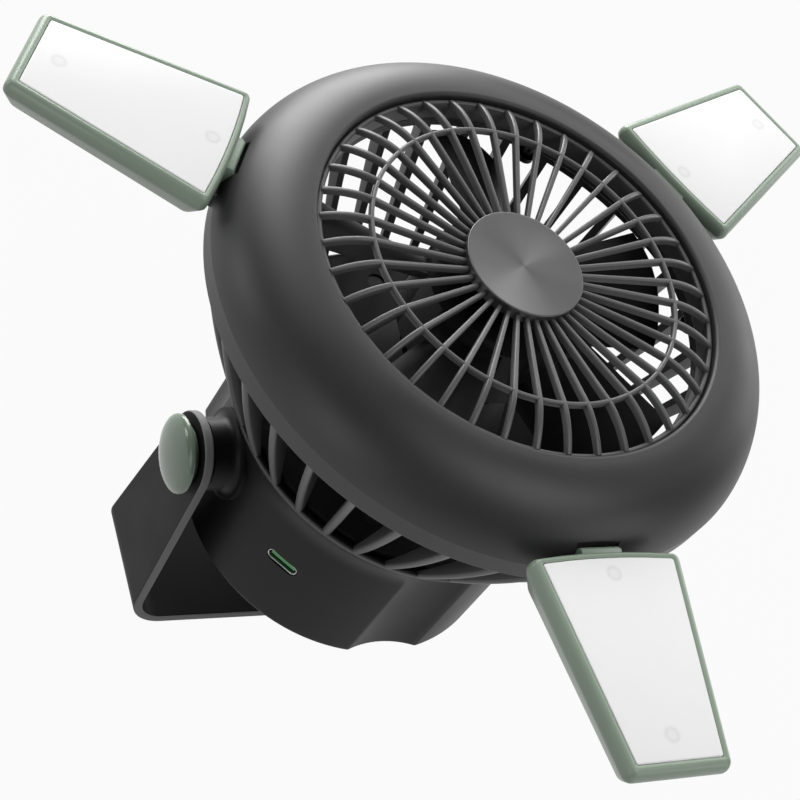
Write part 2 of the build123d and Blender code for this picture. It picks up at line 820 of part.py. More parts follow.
def battery_holder():
    """Bar between the cells with an end plate at each end, standing on the cover."""
    places = cell_places()
    in_x = cell_len / 2 + slip_gap
    out_x = in_x + holder_end_t
    holder = block(-out_x, out_x, places[0][0], places[1][0], low_cell_z, high_cell_z)
    for y, z in places:
        holder -= rod_x(cell_r + slip_gap, -in_x, in_x, y, z)
    top_z = high_cell_z + cell_r
    for x0, x1 in ((-out_x, -in_x), (in_x, out_x)):
        holder += block(x0, x1, -holder_end_w / 2, holder_end_w / 2, floor_z + slip_gap, top_z)
    return holder


def board_screw_places():
    """Places of the main board's screws, across and up."""
    low_z = board_bottom_z + board_post_inset
    high_z = board_top_z - board_post_inset
    return [(x, z) for x in (-board_post_x, board_post_x) for z in (low_z, high_z)]


def main_board():
    """Upright circuit board behind the buttons."""
    board = block(-board_w / 2, board_w / 2, board_y, board_front_y, board_bottom_z, board_top_z)
    for x, z in board_screw_places():
        board -= rod_y(screw_r + slip_gap, 0, barrel_r, x, z)
    return board


def board_screws():
    """Screws of the main board, with their heads on its back."""
    screws = []
    for x, z in board_screw_places():
        head = rod_y(screw_head_r, board_y - screw_head_t, board_y, x, z)
        screws.append(head + rod_y(screw_r, board_y, board_front_y + board_screw_len, x, z))
    return screws


def tact_switches():
    """Square switches on the board, each with a well for a button's stem."""
    switches = []
    for x in (-button_x, button_x):
        half = switch_w / 2
        body = block(x - half, x + half, board_front_y, switch_front_y, button_z - half, button_z + half)
        well = rod_y(button_stem_r + switch_well_gap, board_front_y + switch_floor_t, barrel_r, x, button_z)
        switches.append(body - well)
    return switches


def push_button(x):
    """Round button with a flange behind the wall and a stem into its switch."""
    front_y = math.sqrt(barrel_r**2 - button_x**2) + button_proud
    body = rod_y(button_r, button_back_y, front_y, x, button_z)
    body = fillet(body.edges().sort_by(Axis.Y)[-1:], button_edge_r)
    flange = rod_y(button_flange_r, button_back_y, button_back_y + button_flange_t, x, button_z)
    stem = rod_y(button_stem_r, switch_front_y - stem_bite, button_back_y, x, button_z)
    return body + flange + stem


def usb_port():
    """Pressed steel shell of the charging socket."""
    shell = port_slot(port_w, port_h, barrel_r - port_skin)
    shell -= port_slot(port_w - 2 * port_skin, port_h - 2 * port_skin, barrel_r)
    back = barrel_r - port_len
    solid = port_slot(port_w, port_h, back + port_skin)
    reach = block(back, barrel_r, -port_w, port_w, port_z - port_h, port_z + port_h)
    reach = Rot(0, 0, port_deg) * reach
    return (shell & reach) + (solid & reach)


def port_tongue():
    """Coloured contact tongue inside the charging socket."""
    back = barrel_r - port_len + port_skin
    front = barrel_r - port_skin - tongue_setback
    tongue = block(back, front, -tongue_w / 2, tongue_w / 2, port_z - tongue_t / 2, port_z + tongue_t / 2)
    return Rot(0, 0, port_deg) * tongue


def port_board():
    """Small board under the charging socket."""
    top = port_z - port_h / 2
    half = port_board_w / 2
    wall_x = math.sqrt(cavity_r**2 - half**2) - slip_gap
    board = block(barrel_r - port_board_len, wall_x, -half, half, top - port_board_t, top)
    return Rot(0, 0, port_deg) * board


def taper_outline(in_x, out_x, in_half_w, out_half_w, bulge, corner_r):
    """Outline of a light: curved inner edge, tapering sides and a narrower tip."""
    low_in, high_in = (in_x, -in_half_w), (in_x, in_half_w)
    low_out, high_out = (out_x, -out_half_w), (out_x, out_half_w)
    outline = make_face(
        [
            ThreePointArc(low_in, (in_x - bulge, 0), high_in),
            Line(high_in, high_out),
            Line(high_out, low_out),
            Line(low_out, low_in),
        ]
    )
    return fillet(outline.vertices(), corner_r)


def tray_outline(inset):
    """Outer outline of the tray, drawn in by its draft towards the back."""
    return taper_outline(
        wing_in_x + inset, wing_out_x - inset, wing_in_half_w - inset, wing_out_half_w - inset,
        wing_bulge, wing_corner_r,
    )


def glass_outline(gap):
    """Outline of the diffuser, less an all-round gap."""
    return taper_outline(
        wing_in_x + glass_in_border + gap, wing_out_x - glass_out_border - gap,
        wing_in_half_w - glass_in_side - gap, wing_out_half_w - glass_out_side - gap,
        glass_bulge, glass_corner_r,
    )


def well_outline(gap):
    """Outline of the room under the diffuser, less an all-round gap."""
    step = well_inset + gap
    return taper_outline(
        wing_in_x + well_in_border + gap, wing_out_x - glass_out_border - step,
        wing_in_half_w - glass_in_side - step, wing_out_half_w - glass_out_side - step,
        glass_bulge, glass_corner_r,
    )


def standing(outline, z0, z1):
    """Flat outline raised between two heights."""
    return Pos(0, 0, z0) * extrude(outline, z1 - z0)


def wing_shell():
    """Tray of a light with sloped rim, drafted back, screw pads and hinge knuckle."""
    body = standing(tray_outline(0), wing_crease_z, wing_shoulder_z)
    back = Pos(0, 0, wing_back_z) * tray_outline(wing_draft)
    body += loft([back, Pos(0, 0, wing_crease_z) * tray_outline(0)])
    rim = Pos(0, 0, wing_face_z) * glass_outline(-wing_land)
    body += loft([Pos(0, 0, wing_shoulder_z) * tray_outline(0), rim])
    body -= standing(glass_outline(-slip_gap), glass_z, wing_face_z + overrun)
    body -= standing(well_outline(0), wing_floor_z, wing_face_z)
    for x in wing_post_x:
        body += Pos(x, 0, 0) * rod(wing_pad_r, wing_back_z, wing_pad_z)
        body -= Pos(x, 0, 0) * rod(wing_screw_head_r + slip_gap, 0, screw_seat_z)
        body -= Pos(x, 0, 0) * rod(wing_screw_r + slip_gap, 0, wing_pad_z)
    half = hinge_tab_w / 2
    tab_top_z = wing_face_z - hinge_tab_top_drop
    tab = block(hinge_tab_in_x, wing_in_x, -half, half, hinge_z, tab_top_z)
    tab += block(hinge_tab_in_x, wing_in_x + well_in_border - wing_floor_t, -half, half, hinge_z, wing_crease_z)
    body += tab + rod_y(knuckle_r, -half, half, hinge_x, hinge_z)
    return body - rod_y(hinge_pin_r + run_gap, -hinge_tab_w, hinge_tab_w, hinge_x, hinge_z)


def wing_diffuser():
    """White light cover with two posts down to the tray's screw pads."""
    cover = standing(glass_outline(0), glass_z, wing_face_z)
    for x in wing_post_x:
        cover += Pos(x, 0, 0) * rod(wing_post_r, wing_pad_z, glass_z)
        pilot = rod(wing_screw_r + pilot_gap, wing_pad_z, screw_seat_z + wing_screw_len)
        cover -= Pos(x, 0, 0) * pilot
    return cover


def wing_board():
    """Light board on the tray's floor with its rows of lamps."""
    top = wing_floor_z + light_board_t
    board = standing(well_outline(slip_gap), wing_floor_z, top)
    for x in wing_post_x:
        board -= Pos(x, 0, 0) * rod(wing_pad_r + slip_gap, 0, lip_z)
    start = wing_post_x[0] + led_end_gap
    pitch = (wing_post_x[1] - led_end_gap - start) / (led_columns - 1)
    for column in range(led_columns):
        for y in (-led_row_y, led_row_y):
            x = start + column * pitch
            board += block(x - led_w / 2, x + led_w / 2, y - led_w / 2, y + led_w / 2, top, top + led_h)
    return board


def wing_screws():
    """The two screws from the back of a light."""
    screw = pan_screw(screw_seat_z, wing_screw_len, wing_screw_r, wing_screw_head_r, wing_screw_head_t)
    return [Pos(x, 0, 0) * screw for x in wing_post_x]


def hinge_pin():
    """Steel pin through the ring's ears and the light's knuckle."""
    return rod_y(hinge_pin_r, -ear_half_w, ear_half_w, hinge_x, hinge_z)


os.makedirs("parts", exist_ok=True)

write("stand_bracket", stand_bracket())
for name, turn in (("right", Rot(0, 0, 0)), ("left", Rot(0, 0, 180))):
    write(f"pivot_bolt_{name}", turn * pivot_bolt())
    write(f"friction_washer_{name}", turn * friction_washer())
    write(f"pivot_insert_{name}", turn * pivot_insert())
    write(f"pivot_cap_{name}", turn * pivot_cap())

write("front_ring", front_ring())
write("front_grille", front_grille())
write("hub_cap", hub_cap())
write("rear_cowl", rear_cowl())
shell_screw = Pos(shell_boss_at_r, 0, 0) * pan_screw(shell_screw_z, shell_screw_len)
write("shell_screws", *at_each(shell_screw, shell_screw_degs))

write("battery_housing", battery_housing())
write("bottom_cover", bottom_cover())
cover_screw = pan_screw(cover_z + screw_head_t, post_screw_len)
write("cover_screws", *at_each(Pos(post_at_r, 0, 0) * cover_screw, post_degs))

write("motor_plate", motor_plate())
plate_screw = Pos(0, 0, barrel_top_z + plate_t) * Rot(180, 0, 0) * pan_screw(0, post_screw_len)
write("plate_screws", *at_each(Pos(post_at_r, 0, 0) * plate_screw, post_degs))
write("motor_can", motor_can())
motor_screw = Pos(motor_screw_at_r, 0, 0) * pan_screw(tower_top_z - tower_wall, motor_screw_len - pilot_gap)
write("motor_screws", *at_each(motor_screw, spread(motor_screw_count, 0.0)))
write("rear_bearing", bearing(tower_top_z))
write("front_bearing", bearing(can_top_z - bearing_h))
write("motor_shaft", motor_shaft())
write("motor_rotor", motor_rotor())
write("impeller", impeller())

write("battery_cells", *battery_cells())
write("battery_holder", battery_holder())
write("main_board", main_board())
write("board_screws", *board_screws())
write("tact_switches", *tact_switches())
write("fan_button", push_button(-button_x))
write("light_button", push_button(button_x))
write("usb_port", usb_port())
write("port_tongue", port_tongue())
write("port_board", port_board())

for name, degrees in wing_degs.items():
    turn = Rot(0, 0, degrees)
    write(f"wing_shell_{name}", turn * wing_shell())
    write(f"wing_diffuser_{name}", turn * wing_diffuser())
    write(f"wing_board_{name}", turn * wing_board())
    write(f"wing_screws_{name}", *[turn * screw for screw in wing_screws()])
    write(f"hinge_pin_{name}", turn * hinge_pin())
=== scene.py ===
"""Camping fan with three fold-out lights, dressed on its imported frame, in metres."""

import bmesh
import bpy
import math
from mathutils import Matrix, Vector


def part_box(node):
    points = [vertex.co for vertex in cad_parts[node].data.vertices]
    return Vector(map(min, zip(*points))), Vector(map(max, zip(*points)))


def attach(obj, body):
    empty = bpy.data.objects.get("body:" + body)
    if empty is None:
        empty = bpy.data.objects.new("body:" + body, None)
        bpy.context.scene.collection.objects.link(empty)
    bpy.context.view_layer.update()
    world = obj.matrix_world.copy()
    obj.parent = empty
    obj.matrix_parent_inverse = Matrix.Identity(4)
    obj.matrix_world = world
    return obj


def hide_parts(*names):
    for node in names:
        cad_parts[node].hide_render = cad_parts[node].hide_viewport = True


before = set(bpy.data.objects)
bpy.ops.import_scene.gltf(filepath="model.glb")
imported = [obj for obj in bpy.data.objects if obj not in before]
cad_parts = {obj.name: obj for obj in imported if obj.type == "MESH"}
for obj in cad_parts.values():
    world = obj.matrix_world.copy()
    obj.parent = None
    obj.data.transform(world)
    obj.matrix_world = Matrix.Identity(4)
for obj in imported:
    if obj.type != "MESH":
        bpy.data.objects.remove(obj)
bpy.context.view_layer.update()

# Stand
# A steel strap bent into a U and trimmed so that each arm narrows to a round end at its pivot.
# It is powder coated after bending, with a fine, even grain. Its edge faces get a painted
# highlight.
stand_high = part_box("stand_bracket")[1]
strap_half_x = stand_high.x
strap_half_w = stand_high.y
strap_t = 0.0024
bend_r = 0.010
arm_end_r = 0.0106
pivot_z = stand_high.z - arm_end_r
bolt_hole_r = 0.00305
strap_edge_r = 0.0005
strap_lanes = 8
bend_steps = 12
arm_side_steps = 6
arm_end_steps = 28
merge_gap = 0.000001
cloud_scale = 38.0
cloud_detail = 4.0
cloud_span = (0.3, 0.7)
grain_detail = 2.0
grain_strength = 0.35
# Lighter colour of the strap's edge faces: a painted highlight for the light along its edges.
painted_edge_highlight_tone = (0.24, 0.24, 0.243, 1.0)
mix_a, mix_b, mix_result = 6, 7, 2  # a Mix node's colour sockets, by number as their names repeat


def set_inputs(node, values):
    """Set a node's inputs by their names."""
    for label, value in values.items():
        node.inputs[label].default_value = value


def shader_of(finish):
    """Main shader of a finish."""
    return finish.node_tree.nodes["Principled BSDF"]


def textured(name, colour, roughness, shine=0.5, tone=0.07, gloss=0.04,
             grain=2200.0, depth=0.00003):
    """Finish with a cloudy tone and gloss, a level of shine, and a fine grain as bump."""
    finish = bpy.data.materials.new(name)
    finish.use_nodes = True
    add, link = finish.node_tree.nodes.new, finish.node_tree.links.new
    shader = shader_of(finish)
    shader.inputs["Specular IOR Level"].default_value = shine
    place = add("ShaderNodeTexCoord")
    cloud = add("ShaderNodeTexNoise")
    set_inputs(cloud, {"Scale": cloud_scale, "Detail": cloud_detail})
    link(place.outputs["Object"], cloud.inputs["Vector"])
    shade = add("ShaderNodeValToRGB")
    dark, light = shade.color_ramp.elements
    dark.position, light.position = cloud_span
    dark.color = [c * (1 - tone) for c in colour] + [1.0]
    light.color = [c * (1 + tone) for c in colour] + [1.0]
    link(cloud.outputs["Fac"], shade.inputs["Fac"])
    link(shade.outputs["Color"], shader.inputs["Base Color"])
    sheen = add("ShaderNodeMapRange")
    set_inputs(sheen, {"From Min": cloud_span[0], "From Max": cloud_span[1],
                       "To Min": roughness - gloss, "To Max": roughness + gloss})
    link(cloud.outputs["Fac"], sheen.inputs["Value"])
    link(sheen.outputs["Result"], shader.inputs["Roughness"])
    speck = add("ShaderNodeTexNoise")
    set_inputs(speck, {"Scale": grain, "Detail": grain_detail})
    link(place.outputs["Object"], speck.inputs["Vector"])
    bump = add("ShaderNodeBump")
    set_inputs(bump, {"Strength": grain_strength, "Distance": depth})
    link(speck.outputs["Fac"], bump.inputs["Height"])
    link(bump.outputs["Normal"], shader.inputs["Normal"])
    return finish


def settle(name, bm, finish, sharp_deg=180.0):
    """Object of a finished mesh: merged, turned outwards and smooth up to a crease angle."""
    bmesh.ops.remove_doubles(bm, verts=bm.verts, dist=merge_gap)
    on_axis = [edge for edge in bm.edges if not edge.link_faces]
    bmesh.ops.delete(bm, geom=on_axis, context="EDGES")
    bmesh.ops.recalc_face_normals(bm, faces=bm.faces)
    mesh = bpy.data.meshes.new(name)
    bm.to_mesh(mesh)
    bm.free()
    mesh.shade_smooth()
    mesh.set_sharp_from_angle(angle=math.radians(sharp_deg))
    mesh.materials.append(finish)
    obj = bpy.data.objects.new(name, mesh)
    bpy.context.scene.collection.objects.link(obj)
    return obj


def softened(obj, width, steps=3, above_deg=40.0):
    """Round the edges of a piece that are sharper than an angle."""
    bevel = obj.modifiers.new("soft_edges", "BEVEL")
    bevel.width = width
    bevel.segments = steps
    bevel.limit_method = "ANGLE"
    bevel.angle_limit = math.radians(above_deg)
    bevel.harden_normals = True
    return obj


def fitted(obj, body, slot, *nodes):
    """Piece that moves with a body and stands for its nodes; its slot is not used."""
    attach(obj, body)
    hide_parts(*nodes)
    return obj


def quarter_turn(steps):
    """Even angles from zero to a right angle."""
    return [math.pi / 2 * k / steps for k in range(steps + 1)]


def strap_mesh():
    """U-shaped strap as rows across its width, with an arm plate on each end."""
    bm = bmesh.new()
    on_edge = bm.loops.layers.uv.new("sheared_edge")
    lean = math.asin((strap_half_w - arm_end_r) / pivot_z)
    tangent_y = arm_end_r * math.cos(lean)
    tangent_z = pivot_z + arm_end_r * math.sin(lean)

    def half_width(z):
        return strap_half_w + (tangent_y - strap_half_w) * z / tangent_z

    def row(x, z):
        w = half_width(z)
        lanes = range(strap_lanes + 1)
        return [bm.verts.new((x, w * (2 * k / strap_lanes - 1), z)) for k in lanes]

    # Marks an edge face for the painted highlight, a lighter colour standing in for caught light.
    def edge_face_with_painted_highlight(corners):
        for loop in bm.faces.new(corners).loops:
            loop[on_edge].uv = (1.0, 0.0)

    bend_x = strap_half_x - bend_r
    down = [-a for a in quarter_turn(bend_steps)]
    rows = []
    for side, turns in ((-1, down), (1, down[::-1])):
        for a in turns:
            rows.append([row(side * (bend_x + r * math.cos(a)), bend_r + r * math.sin(a))
                         for r in (bend_r, bend_r - strap_t)])
    for (outer, inner), (outer_next, inner_next) in zip(rows, rows[1:]):
        for k in range(strap_lanes):
            bm.faces.new((outer[k], outer[k + 1], outer_next[k + 1], outer_next[k]))
            bm.faces.new((inner[k], inner_next[k], inner_next[k + 1], inner[k + 1]))
        for k in (0, strap_lanes):
            edge_face_with_painted_highlight((outer[k], outer_next[k], inner_next[k], inner[k]))

    side_h = tangent_z - bend_r
    rise = [bend_r + side_h * k / arm_side_steps for k in range(1, arm_side_steps + 1)]
    swing = [lean + (math.pi - 2 * lean) * k / arm_end_steps for k in range(1, arm_end_steps)]
    edge = [(half_width(z), z) for z in rise]
    edge += [(arm_end_r * math.cos(a), pivot_z + arm_end_r * math.sin(a)) for a in swing]
    edge += [(-half_width(z), z) for z in rise[::-1]]
    for side, feet in ((-1, rows[0]), (1, rows[-1])):
        plates = []
        for x, foot in zip((side * strap_half_x, side * (strap_half_x - strap_t)), feet):
            rim = [foot[-1]] + [bm.verts.new((x, y, z)) for y, z in edge] + foot[:-1]
            hole = []
            for v in rim:
                out = Vector((v.co.y, v.co.z - pivot_z)).normalized() * bolt_hole_r
                hole.append(bm.verts.new((x, out.x, pivot_z + out.y)))
            for i, v in enumerate(rim):
                n = (i + 1) % len(rim)
                bm.faces.new((v, rim[n], hole[n], hole[i]))
            plates.append((rim, hole))
        (rim_a, hole_a), (rim_b, hole_b) = plates
        for i in range(len(edge) + 1):
            edge_face_with_painted_highlight((rim_a[i], rim_a[i + 1], rim_b[i + 1], rim_b[i]))
        for i, v in enumerate(hole_a):
            n = (i + 1) % len(hole_a)
            bm.faces.new((v, hole_b[i], hole_b[n], hole_a[n]))
    return bm


powder_coat = textured("powder_coat", (0.012, 0.012, 0.0125), 0.50, 0.09,
                       grain=2600.0, depth=0.00005)
coat_nodes, coat_links = powder_coat.node_tree.nodes, powder_coat.node_tree.links
coat_colour = shader_of(powder_coat).inputs["Base Color"]
edge_layout = coat_nodes.new("ShaderNodeUVMap")
edge_layout.uv_map = "sheared_edge"
edge_share = coat_nodes.new("ShaderNodeSeparateXYZ")
coat_links.new(edge_layout.outputs["UV"], edge_share.inputs["Vector"])
# Mix the lighter tone onto the edge faces: a painted highlight, not a real difference in the coat.
edge_tone = coat_nodes.new("ShaderNodeMix")
edge_tone.data_type = "RGBA"
edge_tone.inputs[mix_b].default_value = painted_edge_highlight_tone
coat_links.new(edge_share.outputs["X"], edge_tone.inputs["Factor"])
coat_links.new(coat_colour.links[0].from_socket, edge_tone.inputs[mix_a])
coat_links.new(edge_tone.outputs[mix_result], coat_colour)
stand = softened(settle("stand_strap", strap_mesh(), powder_coat), strap_edge_r)
fitted(stand, "stand", "stand_steel", "stand_bracket")

# Battery barrel
# One moulding in dark, fine-grained plastic, its colour set darker than the ring's graphite as
# painted shade: a round wall that flares to the cowl, with three shallow flutes for the folded
# lights, a boss for each pivot, and holes for port and buttons.
barrel_low, barrel_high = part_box("battery_housing")
barrel_bottom_z = barrel_low.z
barrel_top_z = barrel_high.z
barrel_r = 0.0435
barrel_wall = 0.0022
barrel_edge_r = 0.0007
barrel_edge_steps = 3
flare_h = 0.011
flare_w = 0.0041
flare_steps = 12
light_degs = {"front": -90.0, "right": 30.0, "left": 150.0}
flute_half_deg = 13.0
flute_depth = 0.0029
flute_edge_r = 0.0006
flute_edge_deg = 24.0
flute_edge_steps = 2
flute_steps = 14
wall_steps = 120
wall_row_h = 0.0006
crease_deg = 38.0
port_deg = -140.0
port_z = 0.0535
port_hole_w = 0.0093
port_hole_h = 0.0036
port_hole_in = 0.006
slot_end_steps = 12
button_x = 0.008
button_z = 0.054
button_hole_r = 0.00465
button_hole_in = 0.008
button_hole_steps = 48
hole_out = 0.004
boss_r = 0.009
boss_root_x = 0.041
boss_root_h = 0.0026
boss_end_x = 0.0502
boss_root_r = 0.0024
boss_edge_r = 0.0005
boss_steps = 72


def rounded(corners, steps=5):
    """Outline through corners given as x, y and radius, each rounded by an arc of that radius."""
    points = []
    for i, (x, y, r) in enumerate(corners):
        here = Vector((x, y))
        if r == 0:
            points.append((x, y))
            continue
        back = (Vector(corners[i - 1][:2]) - here).normalized()
        ahead = (Vector(corners[(i + 1) % len(corners)][:2]) - here).normalized()
        half = back.angle(ahead) / 2
        centre = here + (back + ahead).normalized() * (r / math.sin(half))
        start = here + back * (r / math.tan(half)) - centre
        stop = here + ahead * (r / math.tan(half)) - centre
        first = math.atan2(start.y, start.x)
        sweep = (math.atan2(stop.y, stop.x) - first + math.pi) % math.tau - math.pi
        for k in range(steps + 1):
            a = first + sweep * k / steps
            points.append((centre.x + r * math.cos(a), centre.y + r * math.sin(a)))
    return points


def arc_through(a, b, c, steps):
    """Points of the round arc from a through b to c."""
    (ax, ay), (bx, by), (cx, cy) = a, b, c
    d = 2 * (ax * (by - cy) + bx * (cy - ay) + cx * (ay - by))
    sa, sb, sc = ax * ax + ay * ay, bx * bx + by * by, cx * cx + cy * cy
    ox = (sa * (by - cy) + sb * (cy - ay) + sc * (ay - by)) / d
    oy = (sa * (cx - bx) + sb * (ax - cx) + sc * (bx - ax)) / d
    r = math.hypot(ax - ox, ay - oy)
    first = math.atan2(ay - oy, ax - ox)
    sweep = (math.atan2(cy - oy, cx - ox) - first + math.pi) % math.tau - math.pi
    turns = [first + sweep * k / steps for k in range(steps + 1)]
    return [(ox + r * math.cos(t), oy + r * math.sin(t)) for t in turns]


def turned(bm, profile, steps, place=Matrix.Identity(4)):
    """Closed profile of radius and height, turned about Z and then put in its place."""
    rings = []
    for i in range(steps):
        a = math.tau * i / steps
        spots = [Vector((r * math.cos(a), r * math.sin(a), z)) for r, z in profile]
        rings.append([bm.verts.new(place @ spot) for spot in spots])
    for here, there in zip(rings, rings[1:] + rings[:1]):
        for k in range(len(profile)):
            n = (k + 1) % len(profile)
            bm.faces.new((here[k], there[k], there[n], here[n]))


def stacked(bm, loops, closed=False):
    """Wall between loops of as many points each, capped at both ends or closed on itself."""
    rings = [[bm.verts.new(point) for point in loop] for loop in loops]
    pairs = list(zip(rings, rings[1:] + rings[:1]))
    for low, high in pairs if closed else pairs[:-1]:
        for k in range(len(low)):
            n = (k + 1) % len(low)
            bm.faces.new((low[k], low[n], high[n], high[k]))
    if not closed:
        bm.faces.new(rings[0][::-1])
        bm.faces.new(rings[-1])


def discarded(obj):
    """Take a pattern or cutter out of the scene."""
    mesh = obj.data
    bpy.data.objects.remove(obj)
    bpy.data.meshes.remove(mesh)


def baked(obj, sharp_deg):
    """Turn the result of a piece's modifiers into its plain mesh."""
    graph = bpy.context.evaluated_depsgraph_get()
    result = bpy.data.meshes.new_from_object(obj.evaluated_get(graph))
    before = obj.data
    obj.modifiers.clear()
    obj.data = result
    bpy.data.meshes.remove(before)
    result.shade_smooth()
    result.set_sharp_from_angle(angle=math.radians(sharp_deg))
    return obj


def cut_from(obj, cutter_bm, sharp_deg):
    """Cut a closed shape out of a piece."""
    cutter = settle("cutter", cutter_bm, obj.data.materials[0])
    cut = obj.modifiers.new("cut", "BOOLEAN")
    cut.operation = "DIFFERENCE"
    cut.solver = "EXACT"
    cut.object = cutter
    baked(obj, sharp_deg)
    discarded(cutter)
    return obj


def slot_loop(w, h, out, inset=0.0):
    """Round-ended slot of the charging port, at a distance out from the fan's axis."""
    r = h / 2 - inset
    reach = (w - h) / 2
    turn = Matrix.Rotation(math.radians(port_deg), 4, "Z")
    points = []
    for side in (1, -1):
        for k in range(slot_end_steps + 1):
            a = side * math.pi / 2 * (2 * k / slot_end_steps - 1)
            spot = (out, side * (reach + r * math.cos(a)), port_z + r * math.sin(a))
            points.append(turn @ Vector(spot))
    return points


def barrel_loop(r, inset, z):
    """Points once round the barrel at a height, following its flutes."""
    edge = barrel_r * math.cos(math.radians(flute_half_deg))
    half_w = barrel_r * math.sin(math.radians(flute_half_deg))
    floor_r = barrel_r - flute_depth
    sag = edge - floor_r
    flute_r = (half_w**2 + sag**2) / (2 * sag)
    axis_x = floor_r + flute_r
    half = math.acos((r**2 + axis_x**2 - flute_r**2) / (2 * r * axis_x))
    spots = []
    for deg in light_degs.values():
        middle = math.radians(deg)
        for k in range(flute_steps):
            a = half * (2 * k / flute_steps - 1)
            across = axis_x * math.sin(a)
            spots.append((middle + a, axis_x * math.cos(a) - math.sqrt(flute_r**2 - across**2)))
        between = math.tau / len(light_degs) - 2 * half
        spots += [(middle + half + between * k / wall_steps, r) for k in range(wall_steps)]
    return [((d - inset) * math.cos(a), (d - inset) * math.sin(a), z) for a, d in spots]


def barrel_mesh():
    """Wall of the barrel, from the rounded foot up to the flare and back down inside."""
    flare_z = barrel_top_z - flare_h
    flare_r = (flare_w**2 + flare_h**2) / (2 * flare_w)
    loops = []
    for a in quarter_turn(barrel_edge_steps):
        inset = barrel_edge_r * (1 - math.sin(a))
        lift = barrel_edge_r * (1 - math.cos(a))
        loops.append(barrel_loop(barrel_r, inset, barrel_bottom_z + lift))
    wall_h = flare_z - barrel_bottom_z - barrel_edge_r
    rows = round(wall_h / wall_row_h)
    for k in range(1, rows + 1):
        z = barrel_bottom_z + barrel_edge_r + wall_h * k / rows
        loops.append(barrel_loop(barrel_r, 0.0, z))
    for k in range(1, flare_steps + 1):
        z = flare_h * k / flare_steps
        r = barrel_r + flare_r - math.sqrt(flare_r**2 - z**2)
        loops.append(barrel_loop(r, 0.0, flare_z + z))
    loops.append(barrel_loop(barrel_r, barrel_wall, barrel_top_z))
    loops.append(barrel_loop(barrel_r, barrel_wall, barrel_bottom_z))
    bm = bmesh.new()
    stacked(bm, loops, closed=True)
    return bm


def at_pivot(side):
    """Place that lays an upright shape on the pivots' axis, to the right or the left."""
    return Matrix.Translation((0.0, 0.0, pivot_z)) @ Matrix.Rotation(side * math.pi / 2, 4, "Y")


# A darker copy of the shell's graphite: painted shade on the barrel, its bosses and the bottom
# cover.
matte_graphite_painted_shade = textured("matte_graphite_painted_shade", (0.008, 0.008, 0.0084), 0.42, 0.14)
barrel = settle("battery_barrel", barrel_mesh(), matte_graphite_painted_shade)
baked(softened(barrel, flute_edge_r, flute_edge_steps, flute_edge_deg), crease_deg)

port_hole = bmesh.new()
stacked(port_hole, [slot_loop(port_hole_w, port_hole_h, out)
                    for out in (barrel_r - port_hole_in, barrel_r + hole_out)])
cut_from(barrel, port_hole, crease_deg)
to_y = Matrix.Rotation(math.radians(-90.0), 4, "X")
button_holes = bmesh.new()
hole_start, hole_end = barrel_r - button_hole_in, barrel_r + hole_out
hole_profile = [(0.0, hole_start), (button_hole_r, hole_start),
                (button_hole_r, hole_end), (0.0, hole_end)]
for x in (-button_x, button_x):
    hole_place = Matrix.Translation((x, 0.0, button_z)) @ to_y
    turned(button_holes, hole_profile, button_hole_steps, hole_place)
cut_from(barrel, button_holes, crease_deg)
fitted(barrel, "head", "graphite_shell", "battery_housing")

bosses = bmesh.new()
boss_root_end_x = boss_root_x + boss_root_h
boss_foot_r = boss_r + boss_root_r
boss_profile = rounded([
    (0.0, boss_root_x, 0), (boss_foot_r, boss_root_x, 0), (boss_foot_r, boss_root_end_x, 0),
    (boss_r, boss_root_end_x, boss_root_r), (boss_r, boss_end_x, boss_edge_r), (0.0, boss_end_x, 0),
], 6)
for side in (1, -1):
    turned(bosses, boss_profile, boss_steps, at_pivot(side))
boss_piece = settle("pivot_bosses", bosses, matte_graphite_painted_shade, crease_deg)
fitted(boss_piece, "head", "graphite_shell", "battery_housing")

# Battery pack and boards
# Four round cells in blue shrink film on a black holder, and two green circuit boards.
# They are closed in by the barrel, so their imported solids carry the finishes.
metal_grain = 1500.0


def dressed(node, finish):
    """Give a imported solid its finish."""
    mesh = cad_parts[node].data
    mesh.materials.clear()
    mesh.materials.append(finish)


def metal(name, colour, roughness, share=1.0):
    """Metallic finish with the fine grain of drawn or plated metal."""
    finish = textured(name, colour, roughness, grain=metal_grain)
    shader_of(finish).inputs["Metallic"].default_value = share
    return finish


# Both black plastics are set darker than their own black: painted shade for the inside of the head.
black_plastic = textured("black_plastic", (0.005, 0.005, 0.0054), 0.45, 0.15)
cell_film = textured("cell_film", (0.06, 0.16, 0.30), 0.25, grain=600.0)
solder_mask = textured("solder_mask", (0.02, 0.16, 0.07), 0.35, tone=0.15, grain=900.0)
zinc = metal("zinc_plate", (0.45, 0.45, 0.44), 0.34)
for node, finish in (
    ("battery_cells", cell_film), ("battery_holder", black_plastic), ("main_board", solder_mask),
    ("port_board", solder_mask), ("tact_switches", black_plastic), ("board_screws", zinc),
):
    dressed(node, finish)

# Charging port
# A pressed steel socket let into the barrel's wall, with a green contact tongue inside.
# The steel edge shows as a bright outline round the dark slot.
port_w = 0.0090
port_h = 0.0033
port_sunk = 0.00035
port_depth = 0.0074
port_front = barrel_r - port_sunk
port_back = barrel_r - port_depth
port_skin = 0.00035
port_edge = 0.00012
bright_steel = metal("bright_steel", (0.50, 0.50, 0.49), 0.30)
port_green = textured("port_green", (0.16, 0.50, 0.20), 0.34)
socket = bmesh.new()
stacked(socket, [slot_loop(port_w, port_h, out, inset) for out, inset in (
    (port_back, 0.0), (port_front - port_edge, 0.0), (port_front, port_edge),
    (port_front, port_skin - port_edge), (port_front - port_edge, port_skin),
    (port_back + port_skin, port_skin),
)])
fitted(settle("port_socket", socket, bright_steel, crease_deg), "head", "bright_steel", "usb_port")
dressed("port_tongue", port_green)

